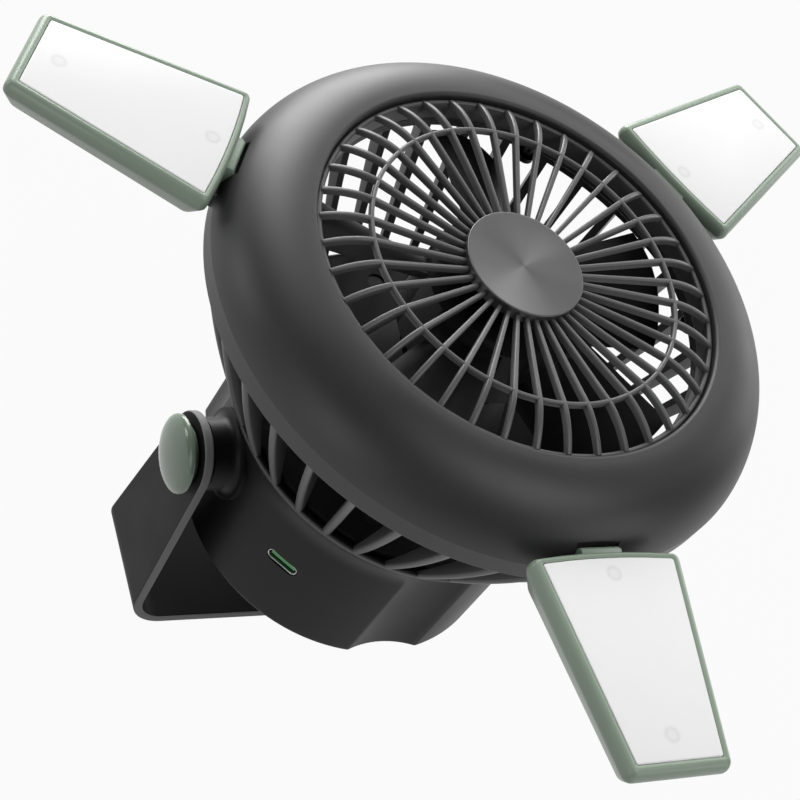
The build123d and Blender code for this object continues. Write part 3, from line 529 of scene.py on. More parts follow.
# Push buttons
# Two round buttons moulded in the same green as the lights, one for the fan and one for the
# lights. Each has a dished face, a flange behind the wall and a stem that reaches its switch.
sage = (0.262, 0.333, 0.259)
satin_sage = textured("satin_sage", sage, 0.30, tone=0.04)
button_low, button_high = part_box("fan_button")
button_front_y = button_high.y
button_r = 0.0045
button_flange_r = 0.0054
button_flange_t = 0.0010
button_stem_r = 0.0015
button_back_y = 0.03777
button_edge_r = 0.0006
button_dish = 0.0004
button_dish_edge_r = button_r * 0.62
button_dish_edge_y = button_front_y - button_dish * 0.55
button_dish_round = 0.002
button_steps = 64
fine_crease_deg = 40.0
button_wall_y = button_back_y + button_flange_t
button_profile = rounded([
    (0.0, button_low.y, 0), (button_stem_r, button_low.y, 0), (button_stem_r, button_back_y, 0),
    (button_flange_r, button_back_y, 0), (button_flange_r, button_wall_y, 0),
    (button_r, button_wall_y, 0), (button_r, button_front_y, button_edge_r),
    (button_dish_edge_r, button_dish_edge_y, button_dish_round),
    (0.0, button_front_y - button_dish, 0),
])
for name, x in (("fan", -button_x), ("light", button_x)):
    bm = bmesh.new()
    turned(bm, button_profile, button_steps, Matrix.Translation((x, 0.0, button_z)) @ to_y)
    button = settle(f"{name}_push_button", bm, satin_sage, fine_crease_deg)
    fitted(button, f"{name}_push", "button_plastic", f"{name}_button")

# Bottom cover and its screws
# A flat cover let into the foot of the barrel and held by three pan-head screws in sunk seats.
# The screws are zinc plated, with a cross recess.
cover_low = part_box("bottom_cover")[0]
cover_post_degs = (90.0, 235.0, 305.0)
cover_post_r = 0.0378
cover_screw_head_r = 0.0024
cover_screw_head_t = 0.0014
cover_screw_shank_r = 0.00125
cover_screw_length = 0.008
screw_segments = 28
screw_crown_share = 0.45
recess_long_share = 0.62
recess_short_share = 0.15
recess_deep_share = 0.55


def screw_shape(name, head_r, head_t, shank_r, length):
    """Pan-head screw on the axis, with its head under zero and its shank above."""
    bm = bmesh.new()
    crown = head_t * screw_crown_share
    turned(bm, rounded([
        (0.0, -head_t, 0), (head_r, -head_t, crown), (head_r, 0.0, 0),
        (shank_r, 0.0, 0), (shank_r, length, 0), (0.0, length, 0),
    ], 4), screw_segments)
    screw = settle(name, bm, zinc, fine_crease_deg)
    long, short = head_r * recess_long_share, head_r * recess_short_share
    deep = head_t * recess_deep_share
    for x, y in ((long, short), (short, long)):
        recess = bmesh.new()
        loop = [(x, y), (-x, y), (-x, -y), (x, -y)]
        stacked(recess, [[(px, py, z) for px, py in loop] for z in (-2 * head_t, deep - head_t)])
        cut_from(screw, recess, fine_crease_deg)
    return screw


def copies_tree(name, inputs):
    """Node tree for copies of one shape, made real and finished, with its open ends."""
    tree = bpy.data.node_groups.new(name, "GeometryNodeTree")
    for label, kind in inputs:
        tree.interface.new_socket(label, in_out="INPUT", socket_type=f"NodeSocket{kind}")
    tree.interface.new_socket("Copies", in_out="OUTPUT", socket_type="NodeSocketGeometry")
    add, link = tree.nodes.new, tree.links.new
    entry, leave = add("NodeGroupInput"), add("NodeGroupOutput")
    shape = add("GeometryNodeObjectInfo")
    copies = add("GeometryNodeInstanceOnPoints")
    real = add("GeometryNodeRealizeInstances")
    paint = add("GeometryNodeSetMaterial")
    link(entry.outputs["Shape"], shape.inputs["Object"])
    link(shape.outputs["Geometry"], copies.inputs["Instance"])
    link(real.outputs["Geometry"], paint.inputs["Geometry"])
    link(entry.outputs["Finish"], paint.inputs["Material"])
    link(paint.outputs["Geometry"], leave.inputs["Copies"])
    return tree, entry, copies, real


def points_tree():
    """Node tree that sets a copy of one shape on every point of a mesh."""
    tree, entry, copies, real = copies_tree("copies_on_points", (
        ("Places", "Geometry"), ("Shape", "Object"), ("Size", "Float"), ("Finish", "Material")))
    link = tree.links.new
    link(entry.outputs["Places"], copies.inputs["Points"])
    link(entry.outputs["Size"], copies.inputs["Scale"])
    link(copies.outputs["Instances"], real.inputs["Geometry"])
    return tree


def repeated(name, tree, start_bm, finish, shape, sharp_deg, **sizes):
    """Piece made by a node tree from a start mesh, one shape and named sizes."""
    obj = settle(name, start_bm, finish)
    maker = obj.modifiers.new("copies", "NODES")
    maker.node_group = tree
    sockets = {s.name: s.identifier for s in tree.interface.items_tree if s.in_out == "INPUT"}
    maker[sockets["Shape"]] = shape
    maker[sockets["Finish"]] = finish
    for label, value in sizes.items():
        maker[sockets[label.replace("_", " ")]] = value
    baked(obj, sharp_deg)
    return obj


dressed("bottom_cover", matte_graphite_painted_shade)
copies_on_points = points_tree()
cover_screw = screw_shape("cover_screw_pattern", cover_screw_head_r, cover_screw_head_t,
                          cover_screw_shank_r, cover_screw_length)
cover_seat_z = cover_low.z + cover_screw_head_t
places = bmesh.new()
for deg in cover_post_degs:
    a = math.radians(deg)
    places.verts.new((cover_post_r * math.cos(a), cover_post_r * math.sin(a), cover_seat_z))
cover_screws = repeated("cover_screw_set", copies_on_points, places, zinc, cover_screw,
                        fine_crease_deg, Size=1.0)
discarded(cover_screw)
fitted(cover_screws, "head", "zinc_steel", "cover_screws")

# Pivot hardware
# On each side a shoulder bolt runs through the arm into a brass bush, over a nylon washer.
# A polished green dome snaps over the bolt's flat head as its cap, its green darkened as painted
# shade.
pivot_cap_low, pivot_cap_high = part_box("pivot_cap_right")
pivot_cap_r = pivot_cap_high.y
pivot_cap_in_x = pivot_cap_low.x
pivot_cap_top_x = pivot_cap_high.x
pivot_cap_neck_r = 0.0076
pivot_cap_neck_h = 0.0017
pivot_cap_edge_h = 0.0005
pivot_cap_round = 0.0003
pivot_cap_steps = 96
pivot_cap_dome_steps = 24
pivot_cap_crease_deg = 50.0
neck_end_x = pivot_cap_in_x + pivot_cap_neck_h
dome_foot_x = neck_end_x + pivot_cap_edge_h
dome_rise = pivot_cap_top_x - dome_foot_x
pivot_cap_dome = [(pivot_cap_r * math.cos(a), dome_foot_x + dome_rise * math.sin(a), 0)
                  for a in quarter_turn(pivot_cap_dome_steps)[:-1]]
pivot_cap_profile = rounded([
    (0.0, pivot_cap_in_x, 0), (pivot_cap_neck_r, pivot_cap_in_x, pivot_cap_round),
    (pivot_cap_neck_r, neck_end_x, pivot_cap_round), (pivot_cap_r, neck_end_x, pivot_cap_round),
] + pivot_cap_dome + [(0.0, pivot_cap_top_x, 0)], 4)
# The caps' sage is the trays' sage darkened: painted shade, with a real polish.
polished_sage_painted_shade = textured("polished_sage_painted_shade", (0.196, 0.256, 0.194), 0.13, tone=0.04)
brass = metal("brass", (0.60, 0.45, 0.18), 0.30)
nylon = textured("black_nylon", (0.03, 0.03, 0.03), 0.50)
for name, side in (("right", 1), ("left", -1)):
    bm = bmesh.new()
    turned(bm, pivot_cap_profile, pivot_cap_steps, at_pivot(side))
    pivot_cap = settle(f"pivot_button_{name}", bm, polished_sage_painted_shade, pivot_cap_crease_deg)
    fitted(pivot_cap, "head", "sage_plastic", f"pivot_cap_{name}")
    dressed(f"pivot_bolt_{name}", bright_steel)
    dressed(f"friction_washer_{name}", nylon)
    dressed(f"pivot_insert_{name}", brass)

# Motor and its plate
# The motor stands on a hollow tower moulded on the plate that closes the barrel.
# Plate and tower are black plastic and the motor's can is drawn steel.
drawn_steel = metal("drawn_steel", (0.40, 0.40, 0.40), 0.32)
black_zinc = metal("black_zinc", (0.035, 0.035, 0.036), 0.40, 0.8)
magnet = textured("sintered_magnet", (0.10, 0.10, 0.10), 0.55, tone=0.2, grain=1200.0)
for node, finish in (
    ("motor_plate", black_plastic), ("plate_screws", black_zinc), ("motor_can", drawn_steel),
    ("motor_screws", zinc), ("rear_bearing", bright_steel), ("front_bearing", bright_steel),
    ("motor_shaft", bright_steel), ("motor_rotor", magnet),
):
    dressed(node, finish)

# Impeller
# Five cambered blades on a crowned hub cup, moulded in one in black plastic.
# It is pressed on the motor's shaft behind the grille.
impeller_crease_deg = 30.0


def smooth_copy(name, node, finish, sharp_deg):
    """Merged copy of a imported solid, smooth up to a crease angle."""
    bm = bmesh.new()
    bm.from_mesh(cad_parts[node].data)
    return settle(name, bm, finish, sharp_deg)


# Black plastic set darker still: painted shade for the inside behind the grille.
fan_black_painted_shade = textured("fan_black_painted_shade", (0.004, 0.004, 0.0044), 0.45, 0.15)
impeller = smooth_copy("fan_impeller", "impeller", fan_black_painted_shade, impeller_crease_deg)
fitted(impeller, "fan_wheel", "black_plastic", "impeller")

# Rear cowl
# A cage of upright fins between the collar on the barrel and the spigot inside the ring's skirt.
# It is one moulding in satin graphite, with the fins' outer edges rounded.
cowl_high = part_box("rear_cowl")[1]
band_z = 0.1185
fin_count = 36
fin_first_deg = 5.0
fin_half_t = 0.00105
fin_top_r = cowl_high.x
fin_top_gap = 0.00015
fin_foot_r = 0.0484
fin_bulge = 0.0009
fin_top_depth = 0.0065
fin_foot_depth = 0.0017
fin_nose = 0.0011
fin_nose_steps = 8
fin_steps = 16
collar_h = 0.0026
collar_fall = 0.0018
collar_in_r = 0.0446
collar_foot_r = barrel_r + flare_w
collar_round = 0.0008
collar_edge_r = 0.0005
spigot_r = 0.06745
spigot_w = 0.0046
spigot_edge_r = 0.0006
slot_top_z = 0.1164
cowl_steps = 180


def ring_tree():
    """Node tree that repeats one shape evenly round the fan's axis, beside a core."""
    tree, entry, copies, real = copies_tree("copies_round_axis", (
        ("Core", "Geometry"), ("Shape", "Object"), ("Count", "Int"),
        ("First turn", "Float"), ("Finish", "Material")))
    add, link = tree.nodes.new, tree.links.new
    spots = add("GeometryNodePoints")
    index = add("GeometryNodeInputIndex")
    pitch = add("ShaderNodeMath")
    pitch.operation = "DIVIDE"
    pitch.inputs[0].default_value = math.tau
    turn = add("ShaderNodeMath")
    turn.operation = "MULTIPLY_ADD"
    angles = add("ShaderNodeCombineXYZ")
    whole = add("GeometryNodeJoinGeometry")
    link(entry.outputs["Count"], spots.inputs["Count"])
    link(entry.outputs["Count"], pitch.inputs[1])
    link(index.outputs["Index"], turn.inputs[0])
    link(pitch.outputs["Value"], turn.inputs[1])
    link(entry.outputs["First turn"], turn.inputs[2])
    link(turn.outputs["Value"], angles.inputs["Z"])
    link(spots.outputs["Points"], copies.inputs["Points"])
    link(angles.outputs["Vector"], copies.inputs["Rotation"])
    link(copies.outputs["Instances"], whole.inputs["Geometry"])
    link(entry.outputs["Core"], whole.inputs["Geometry"])
    link(whole.outputs["Geometry"], real.inputs["Geometry"])
    return tree


def fin_mesh():
    """One fin, drawn along +X as round-nosed sections from its foot to its top."""
    foot_z = barrel_top_z + collar_h / 2
    top_z = band_z - fin_top_gap
    middle = ((fin_top_r + fin_foot_r) / 2 + fin_bulge, (foot_z + top_z) / 2)
    outer = arc_through((fin_foot_r, foot_z), middle, (fin_top_r, top_z), fin_steps)
    nose_turns = [math.pi * j / fin_nose_steps for j in range(fin_nose_steps + 1)]
    loops = []
    for k, (r, z) in enumerate(outer):
        depth = fin_foot_depth + (fin_top_depth - fin_foot_depth) * k / fin_steps
        back = [(r - depth, -fin_half_t, z), (r - depth, fin_half_t, z)]
        nose = [(r - fin_nose + fin_nose * math.sin(a), fin_half_t * math.cos(a), z)
                for a in nose_turns]
        loops.append(back + nose)
    bm = bmesh.new()
    stacked(bm, loops)
    return bm


satin_graphite = textured("satin_graphite", (0.022, 0.022, 0.0225), 0.46, 0.5)
copies_round_axis = ring_tree()
cowl_core = bmesh.new()
turned(cowl_core, rounded([
    (collar_in_r, barrel_top_z, 0), (collar_foot_r, barrel_top_z, 0),
    (fin_foot_r, barrel_top_z + collar_h / 2, collar_round),
    (fin_foot_r, barrel_top_z + collar_h, collar_edge_r),
    (collar_in_r, barrel_top_z + collar_h - collar_fall, 0),
]), cowl_steps)
turned(cowl_core, rounded([
    (spigot_r - spigot_w, slot_top_z, spigot_edge_r), (spigot_r, slot_top_z, spigot_edge_r),
    (spigot_r, cowl_high.z, 0), (spigot_r - spigot_w, cowl_high.z, 0),
]), cowl_steps)
fin = settle("fin_pattern", fin_mesh(), satin_graphite, fine_crease_deg)
cowl = repeated("vent_cowl", copies_round_axis, cowl_core, satin_graphite, fin, crease_deg,
                Count=fin_count, First_turn=math.radians(fin_first_deg))
discarded(fin)
fitted(cowl, "head", "graphite_shell", "rear_cowl")
dressed("shell_screws", black_zinc)

# Front ring
# The domed shell round the fan, moulded in satin graphite, with a ledge inside its mouth for the
# grille. Three notches in its edge take the tabs of the lights, between two ears each.
ring_r = 0.070
band_r = 0.0698
band_edge_r = 0.0004
band_in_edge_r = 0.0002
ring_wall = 0.0022
edge_z = 0.124
lip_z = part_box("front_ring")[1].z
lip_r = 0.0528
lip_round = 0.0010
opening_r = 0.0505
ledge_z = 0.1322
ledge_corner_r = 0.0002
ledge_edge_r = 0.0003
duct_r = 0.0492
duct_h = 0.0030
duct_bottom_z = ledge_z - duct_h
duct_edge_r = 0.0005
dome_bulge_share = 0.68
dome_steps = 30
ring_steps = 300
ring_crease_deg = 7.0
hinge_x = 0.0708
hinge_z = 0.1232
notch_in_x = 0.0672
notch_out_x = hinge_x + 0.006
notch_half_w = 0.0055
notch_low_z = 0.09
ear_w = 0.0035
ear_r = 0.0023
ear_edge_r = 0.0004
ear_steps = 32
ear_root_x = notch_in_x - 0.0016
ear_out_y = notch_half_w + ear_w
ear_plate_x = notch_in_x - 0.0026
ear_plate_low_z = band_z + 0.0005
ear_plate_top_z = 0.1275
ear_crease_deg = 30.0


def dome(r, foot_r, top_z):
    """Round arc of the ring's dome from its edge in to its lip."""
    middle = (foot_r + dome_bulge_share * (r - foot_r),
              edge_z + dome_bulge_share * (top_z - edge_z))
    return [(x, z, 0) for x, z in arc_through((r, edge_z), middle, (foot_r, top_z), dome_steps)]


def box_loops(x0, x1, y0, y1, z0, z1):
    """Two loops of a block along X."""
    return [[(x, y0, z0), (x, y1, z0), (x, y1, z1), (x, y0, z1)] for x in (x0, x1)]


def moved_in(target, source, place):
    """Add one mesh to another at a place."""
    source.transform(place)
    mesh = bpy.data.meshes.new("moved_in")
    source.to_mesh(mesh)
    source.free()
    target.from_mesh(mesh)
    bpy.data.meshes.remove(mesh)


outside = dome(ring_r, lip_r, lip_z)
inside = dome(ring_r - ring_wall, lip_r + ring_wall / 2, lip_z - ring_wall)
ring_profile = rounded(
    [(band_r, band_z, band_edge_r)] + outside[:-1]
    + [(lip_r, lip_z, 0), (opening_r, lip_z, lip_round), (opening_r, ledge_z, ledge_corner_r),
       (duct_r, ledge_z, ledge_edge_r), (duct_r, duct_bottom_z, duct_edge_r),
       (duct_r + ring_wall, duct_bottom_z, duct_edge_r),
       (duct_r + ring_wall, ledge_z - ring_wall, 0), (opening_r + ring_wall, ledge_z, 0)]
    + inside[::-1] + [(band_r - ring_wall, band_z, band_in_edge_r)])
ring_bm = bmesh.new()
turned(ring_bm, ring_profile, ring_steps)
ring = settle("front_dome", ring_bm, satin_graphite, ring_crease_deg)
ear_profile = rounded([(0.0, 0.0, 0), (ear_r, 0.0, ear_edge_r),
                       (ear_r, ear_w, ear_edge_r), (0.0, ear_w, 0)], 3)
notches = bmesh.new()
hinges = bmesh.new()
for deg in light_degs.values():
    turn = Matrix.Rotation(math.radians(deg), 4, "Z")
    notch = bmesh.new()
    stacked(notch, box_loops(notch_in_x, notch_out_x, -notch_half_w, notch_half_w,
                             notch_low_z, lip_z))
    moved_in(notches, notch, turn)
    ears = bmesh.new()
    stacked(ears, box_loops(ear_plate_x, notch_in_x, -ear_out_y, ear_out_y,
                            ear_plate_low_z, ear_plate_top_z))
    for side in (-1, 1):
        y0, y1 = sorted((side * notch_half_w, side * ear_out_y))
        stacked(ears, box_loops(ear_root_x, hinge_x, y0, y1, hinge_z - ear_r, hinge_z + ear_r))
        turned(ears, ear_profile, ear_steps, Matrix.Translation((hinge_x, y0, hinge_z)) @ to_y)
    moved_in(hinges, ears, turn)
cut_from(ring, notches, ring_crease_deg)
fitted(ring, "head", "graphite_shell", "front_ring")
hinge_ears = settle("hinge_ears", hinges, satin_graphite, ear_crease_deg)
fitted(hinge_ears, "head", "graphite_shell", "front_ring")

# Front grille and hub cap
# Forty slim spokes run from the hub plate over a slim ring and bend down into the ring's mouth,
# moulded in one. The bare cap in the middle has a spun satin finish on a shallow dish.
grille_low, grille_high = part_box("front_grille")
spoke_count = 40
spoke_first_deg = 3.0
spoke_hub_w = 0.00105
spoke_rim_w = 0.00130
spoke_depth = 0.0017
spoke_edge = 0.0004
spoke_edge_steps = 3
spoke_straight_steps = 8
spoke_bend_steps = 12
hub_r = 0.0148
hub_plate_z = 0.1362
hub_plate_low_r = 0.0004
hub_plate_top_r = 0.0003
hub_top_z = 0.1386
hub_steps = 120
slim_ring_r = 0.0385
slim_ring_w = 0.0010
slim_ring_z = grille_high.z
slim_ring_top_r = 0.0004
slim_ring_low_r = 0.0003
spoke_foot_r = 0.0498
spoke_foot_z = 0.1380
rim_r = 0.05035
rim_w = 0.0013
rim_h = 0.0053
rim_top_r = 0.0005
rim_low_r = 0.0003
grille_steps = 200


def spoke_mesh():
    """One spoke, drawn along +X, with a rounded top edge and a straight-sided web below."""
    root_x, root_z = hub_r - slim_ring_w, hub_top_z
    knee = (slim_ring_r, slim_ring_z)
    foot = (spoke_foot_r, spoke_foot_z)
    run, drop = foot[0] - knee[0], knee[1] - foot[1]
    chord = math.hypot(run, drop)
    arc_r = chord**2 / (2 * drop)  # the bend leaves the slim ring level
    sag = arc_r - math.sqrt(arc_r**2 - chord**2 / 4)
    middle = ((knee[0] + foot[0]) / 2 + sag * drop / chord,
              (knee[1] + foot[1]) / 2 + sag * run / chord)
    steps = [k / spoke_straight_steps for k in range(spoke_straight_steps)]
    path = [(root_x + (knee[0] - root_x) * t, root_z + (knee[1] - root_z) * t) for t in steps]
    path += arc_through(knee, middle, foot, spoke_bend_steps)
    loops = []
    for x, z in path:
        along = min(1.0, (x - root_x) / (knee[0] - root_x))
        w = spoke_hub_w + (spoke_rim_w - spoke_hub_w) * along
        side = [(w / 2 - spoke_edge + spoke_edge * math.sin(a), spoke_edge * (math.cos(a) - 1))
                for a in quarter_turn(spoke_edge_steps)]
        side.append((w / 2, -spoke_depth))
        loops.append([(x, y, z + dz) for y, dz in side] + [(x, -y, z + dz) for y, dz in side[::-1]])
    bm = bmesh.new()
    stacked(bm, loops)
    return bm


def rim_profile(in_r, out_r, low_z, top_z, low_round, top_round):
    """Section of a round rim with rounded corners."""
    return rounded([(in_r, low_z, low_round), (out_r, low_z, low_round),
                    (out_r, top_z, top_round), (in_r, top_z, top_round)], 3)


# The spokes' graphite is coloured lighter than the ring's: painted light for the light falling on
# them.
satin_grille_painted_light = textured("satin_grille_painted_light", (0.085, 0.085, 0.087), 0.40, 0.5)
grille_core = bmesh.new()
turned(grille_core, rim_profile(
    slim_ring_r - slim_ring_w / 2, slim_ring_r + slim_ring_w / 2,
    slim_ring_z - spoke_depth, slim_ring_z, slim_ring_low_r, slim_ring_top_r), grille_steps)
turned(grille_core, rim_profile(
    rim_r - rim_w, rim_r, grille_low.z, grille_low.z + rim_h, rim_low_r, rim_top_r), grille_steps)
hub_plate_r = hub_r - slim_ring_w / 2
turned(grille_core, rounded([
    (0.0, hub_plate_z, 0), (hub_plate_r, hub_plate_z, hub_plate_low_r),
    (hub_plate_r, hub_top_z, hub_plate_top_r), (0.0, hub_top_z, 0),
], 3), hub_steps)
spoke = settle("spoke_pattern", spoke_mesh(), satin_grille_painted_light, fine_crease_deg)
grille = repeated("front_spokes", copies_round_axis, grille_core, satin_grille_painted_light, spoke, crease_deg,
                  Count=spoke_count, First_turn=math.radians(spoke_first_deg))
discarded(spoke)
fitted(grille, "head", "graphite_grille", "front_grille")

hub_cap_top_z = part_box("hub_cap")[1].z
hub_cap_rim_w = 0.0005
hub_cap_dish = (hub_cap_top_z - hub_top_z) * 0.7
hub_cap_edge_r = 0.0003
hub_cap_fine_r = 0.0002
hub_cap_steps = 128
hub_cap_crease_deg = 30.0
spun = textured("spun_satin", (0.10, 0.10, 0.102), 0.32, tone=0.03, grain=1800.0)
set_inputs(shader_of(spun), {"Metallic": 0.75, "Anisotropic": 0.85})
round_axis = spun.node_tree.nodes.new("ShaderNodeTangent")
round_axis.direction_type = "RADIAL"
round_axis.axis = "Z"
spun.node_tree.links.new(round_axis.outputs["Tangent"], shader_of(spun).inputs["Tangent"])
hub_cap_bm = bmesh.new()
turned(hub_cap_bm, rounded([
    (0.0, hub_top_z, 0), (hub_r, hub_top_z, hub_cap_fine_r),
    (hub_r, hub_cap_top_z, hub_cap_edge_r), (hub_r - hub_cap_rim_w, hub_cap_top_z, hub_cap_fine_r),
    (0.0, hub_cap_top_z - hub_cap_dish, 0),
], 6), hub_cap_steps)
hub_cap = settle("hub_button", hub_cap_bm, spun, hub_cap_crease_deg)
fitted(hub_cap, "head", "hub_satin", "hub_cap")

# Lights
# Each light is a green tray with a drafted back and a hinge tab, closed by a milky white cover.
# Two screws from the back hold the cover over a white lamp board, and a steel pin is the hinge.
tray_in_x = 0.0709
tray_out_x = 0.1210
tray_in_half = 0.0196
tray_out_half = 0.0130
tray_bulge = 0.0012
tray_corner_r = 0.0020
tray_face_z = 0.1321
tray_shoulder_z = 0.1295
tray_crease_z = 0.1287
tray_crease_inset = 0.00005
tray_turn_z = tray_crease_z - 0.0006
tray_turn_inset = 0.0003
tray_back_z = 0.1238
tray_floor_z = 0.1254
tray_draft = 0.0024
tray_back_edge = 0.0008
tray_back_steps = 4
tray_rim_land = 0.0007
tray_rim_steps = 8
tray_mouth_z = tray_face_z - 0.0002
corner_steps = 6
bulge_share = 0.6
bulge_steps = 4
cover_in_x = 0.0725
cover_out_x = 0.1184
cover_in_half = 0.0169
cover_out_half = 0.0109
cover_bulge = 0.0008
cover_corner_r = 0.0006
cover_t = 0.0020
cover_back_z = tray_face_z - cover_t
cover_gap = 0.00015
cover_edge = 0.0003
cover_edge_steps = 3
well_in_x = 0.0765
well_inset = 0.0015
post_xs = (0.0786, 0.1125)
screw_seat_z = 0.1250
screw_seat_r = 0.00215
screw_seat_low_z = tray_back_z - 0.001
screw_seat_steps = 32
light_screw_head_r = 0.0020
light_screw_head_t = 0.0010
light_screw_shank_r = 0.0010
light_screw_length = 0.005
tab_half_w = 0.0052
tab_in_x = 0.068
tab_top_z = 0.1307
tab_lap_x = tray_in_x + 0.0008
tab_corner_r = 0.0009
tab_edge_r = 0.0004
knuckle_r = 0.0025
knuckle_steps = 16
light_crease_deg = 32.0
# Grey rings on the covers over the screw posts: painted shade of the posts showing through.
post_shade_xs = (0.0755, 0.1128)
layout_scale = 10.0
layout_middle = 0.5
post_shade_stops = (0.008, 0.015, 0.021)
post_shade_tones = ((0.96, 0.96, 0.96, 1.0), (0.87, 0.875, 0.87, 1.0), (1.0, 1.0, 1.0, 1.0))


def taper_loop(in_x, out_x, in_half, out_half, bulge, corner_r, inset, z):
    """Outline of a light at a height: bulged inner edge, tapering sides and narrower tip."""
    in_x, out_x = in_x + inset, out_x - inset
    in_half, out_half = in_half - inset, out_half - inset
    corners = [(in_x, -in_half, corner_r), (out_x, -out_half, corner_r),
               (out_x, out_half, corner_r), (in_x, in_half, corner_r)]
    for k in range(bulge_steps + 1):
        t = bulge_share * (1 - 2 * k / bulge_steps)
        corners.append((in_x - bulge * (1 - t * t), t * in_half, 0))
    return [(x, y, z) for x, y in rounded(corners, corner_steps)]


def tray_loop(inset, z):
    """Outer outline of the tray."""
    return taper_loop(tray_in_x, tray_out_x, tray_in_half, tray_out_half,
                      tray_bulge, tray_corner_r, inset, z)


def cover_loop(inset, z):
    """Outline of the white cover."""
    return taper_loop(cover_in_x, cover_out_x, cover_in_half, cover_out_half,
                      cover_bulge, cover_corner_r, inset, z)


def well_loop(z):
    """Outline of the well under the cover."""
    return taper_loop(well_in_x, cover_out_x - well_inset, cover_in_half - well_inset,
                      cover_out_half - well_inset, cover_bulge, cover_corner_r, 0.0, z)


def tab_mesh():
    """Hinge tab with its round knuckle, soft along both sides."""
    bm = bmesh.new()
    under = [(hinge_x + knuckle_r * math.cos(a), hinge_z + knuckle_r * math.sin(a), 0)
             for a in [-math.pi * k / knuckle_steps for k in range(knuckle_steps + 1)]]
    side = rounded([(tab_in_x, hinge_z, 0), (tab_in_x, tab_top_z, tab_corner_r),
                    (tab_lap_x, tab_top_z, 0)] + under)
    stacked(bm, [[(x, y, z) for x, z in side] for y in (-tab_half_w, tab_half_w)])
    along_sides = [e for e in bm.edges if e.verts[0].co.y == e.verts[1].co.y]
    bmesh.ops.bevel(bm, geom=along_sides, offset=tab_edge_r, segments=2, profile=0.5,
                    affect="EDGES")
    return bm


def tray_mesh():
    """Tray from its rounded back up to the face and down again into its well, with the tab."""
    loops = []
    slope = tray_draft / (tray_crease_z - tray_back_z)
    for a in quarter_turn(tray_back_steps):
        lift = tray_back_edge * (1 - math.cos(a))
        step_in = tray_draft + tray_back_edge * (1 - math.sin(a)) - lift * slope
        loops.append(tray_loop(step_in, tray_back_z + lift))
    loops.append(tray_loop(tray_turn_inset, tray_turn_z))
    loops.append(tray_loop(tray_crease_inset, tray_crease_z))
    loops.append(tray_loop(0.0, (tray_crease_z + tray_shoulder_z) / 2))
    shoulder = tray_loop(0.0, tray_shoulder_z)
    rim = cover_loop(-tray_rim_land, tray_face_z)
    for a in quarter_turn(tray_rim_steps):
        t = 1 - math.cos(a)
        z = tray_shoulder_z + (tray_face_z - tray_shoulder_z) * math.sin(a)
        loops.append([(start[0] + (end[0] - start[0]) * t, start[1] + (end[1] - start[1]) * t, z)
                      for start, end in zip(shoulder, rim)])
    loops.append(cover_loop(-cover_gap, tray_mouth_z))
    loops.append(cover_loop(-cover_gap, cover_back_z))
    loops.append(well_loop(cover_back_z))
    loops.append(well_loop(tray_floor_z))
    bm = bmesh.new()
    stacked(bm, loops)
    moved_in(bm, tab_mesh(), Matrix.Identity(4))
    return bm


def cover_mesh():
    """White cover with a softly rounded edge."""
    loops = [cover_loop(0.0, cover_back_z)]
    for a in quarter_turn(cover_edge_steps):
        inset = cover_edge * (1 - math.cos(a))
        loops.append(cover_loop(inset, tray_face_z - cover_edge * (1 - math.sin(a))))
    bm = bmesh.new()
    stacked(bm, loops)
    return bm


def milky_white():
    """White light cover with faint grey rings near its ends, painted shade of the screw posts
    behind.
    """
    finish = textured("milky_white", (0.86, 0.865, 0.86), 0.46, 0.12, 0.01, 0.03, 1200.0, 0.00001)
    add, link = finish.node_tree.nodes.new, finish.node_tree.links.new
    colour = shader_of(finish).inputs["Base Color"]
    base = colour.links[0].from_socket
    layout = add("ShaderNodeUVMap")
    layout.uv_map = "along_light"
    for x in post_shade_xs:
        apart = add("ShaderNodeVectorMath")
        apart.operation = "DISTANCE"
        apart.inputs[1].default_value = (x * layout_scale, layout_middle, 0.0)
        link(layout.outputs["UV"], apart.inputs[0])
        mark = add("ShaderNodeValToRGB")
        stops = mark.color_ramp.elements
        stops[0].position, stops[1].position = post_shade_stops[0], post_shade_stops[2]
        stops.new(post_shade_stops[1])
        for stop, tone in zip(stops, post_shade_tones):
            stop.color = tone
        link(apart.outputs["Value"], mark.inputs["Fac"])
        blend = add("ShaderNodeMix")
        blend.data_type = "RGBA"
        blend.blend_type = "MULTIPLY"
        blend.inputs["Factor"].default_value = 1.0
        link(base, blend.inputs[mix_a])
        link(mark.outputs["Color"], blend.inputs[mix_b])
        base = blend.outputs[mix_result]
    link(base, colour)
    return finish


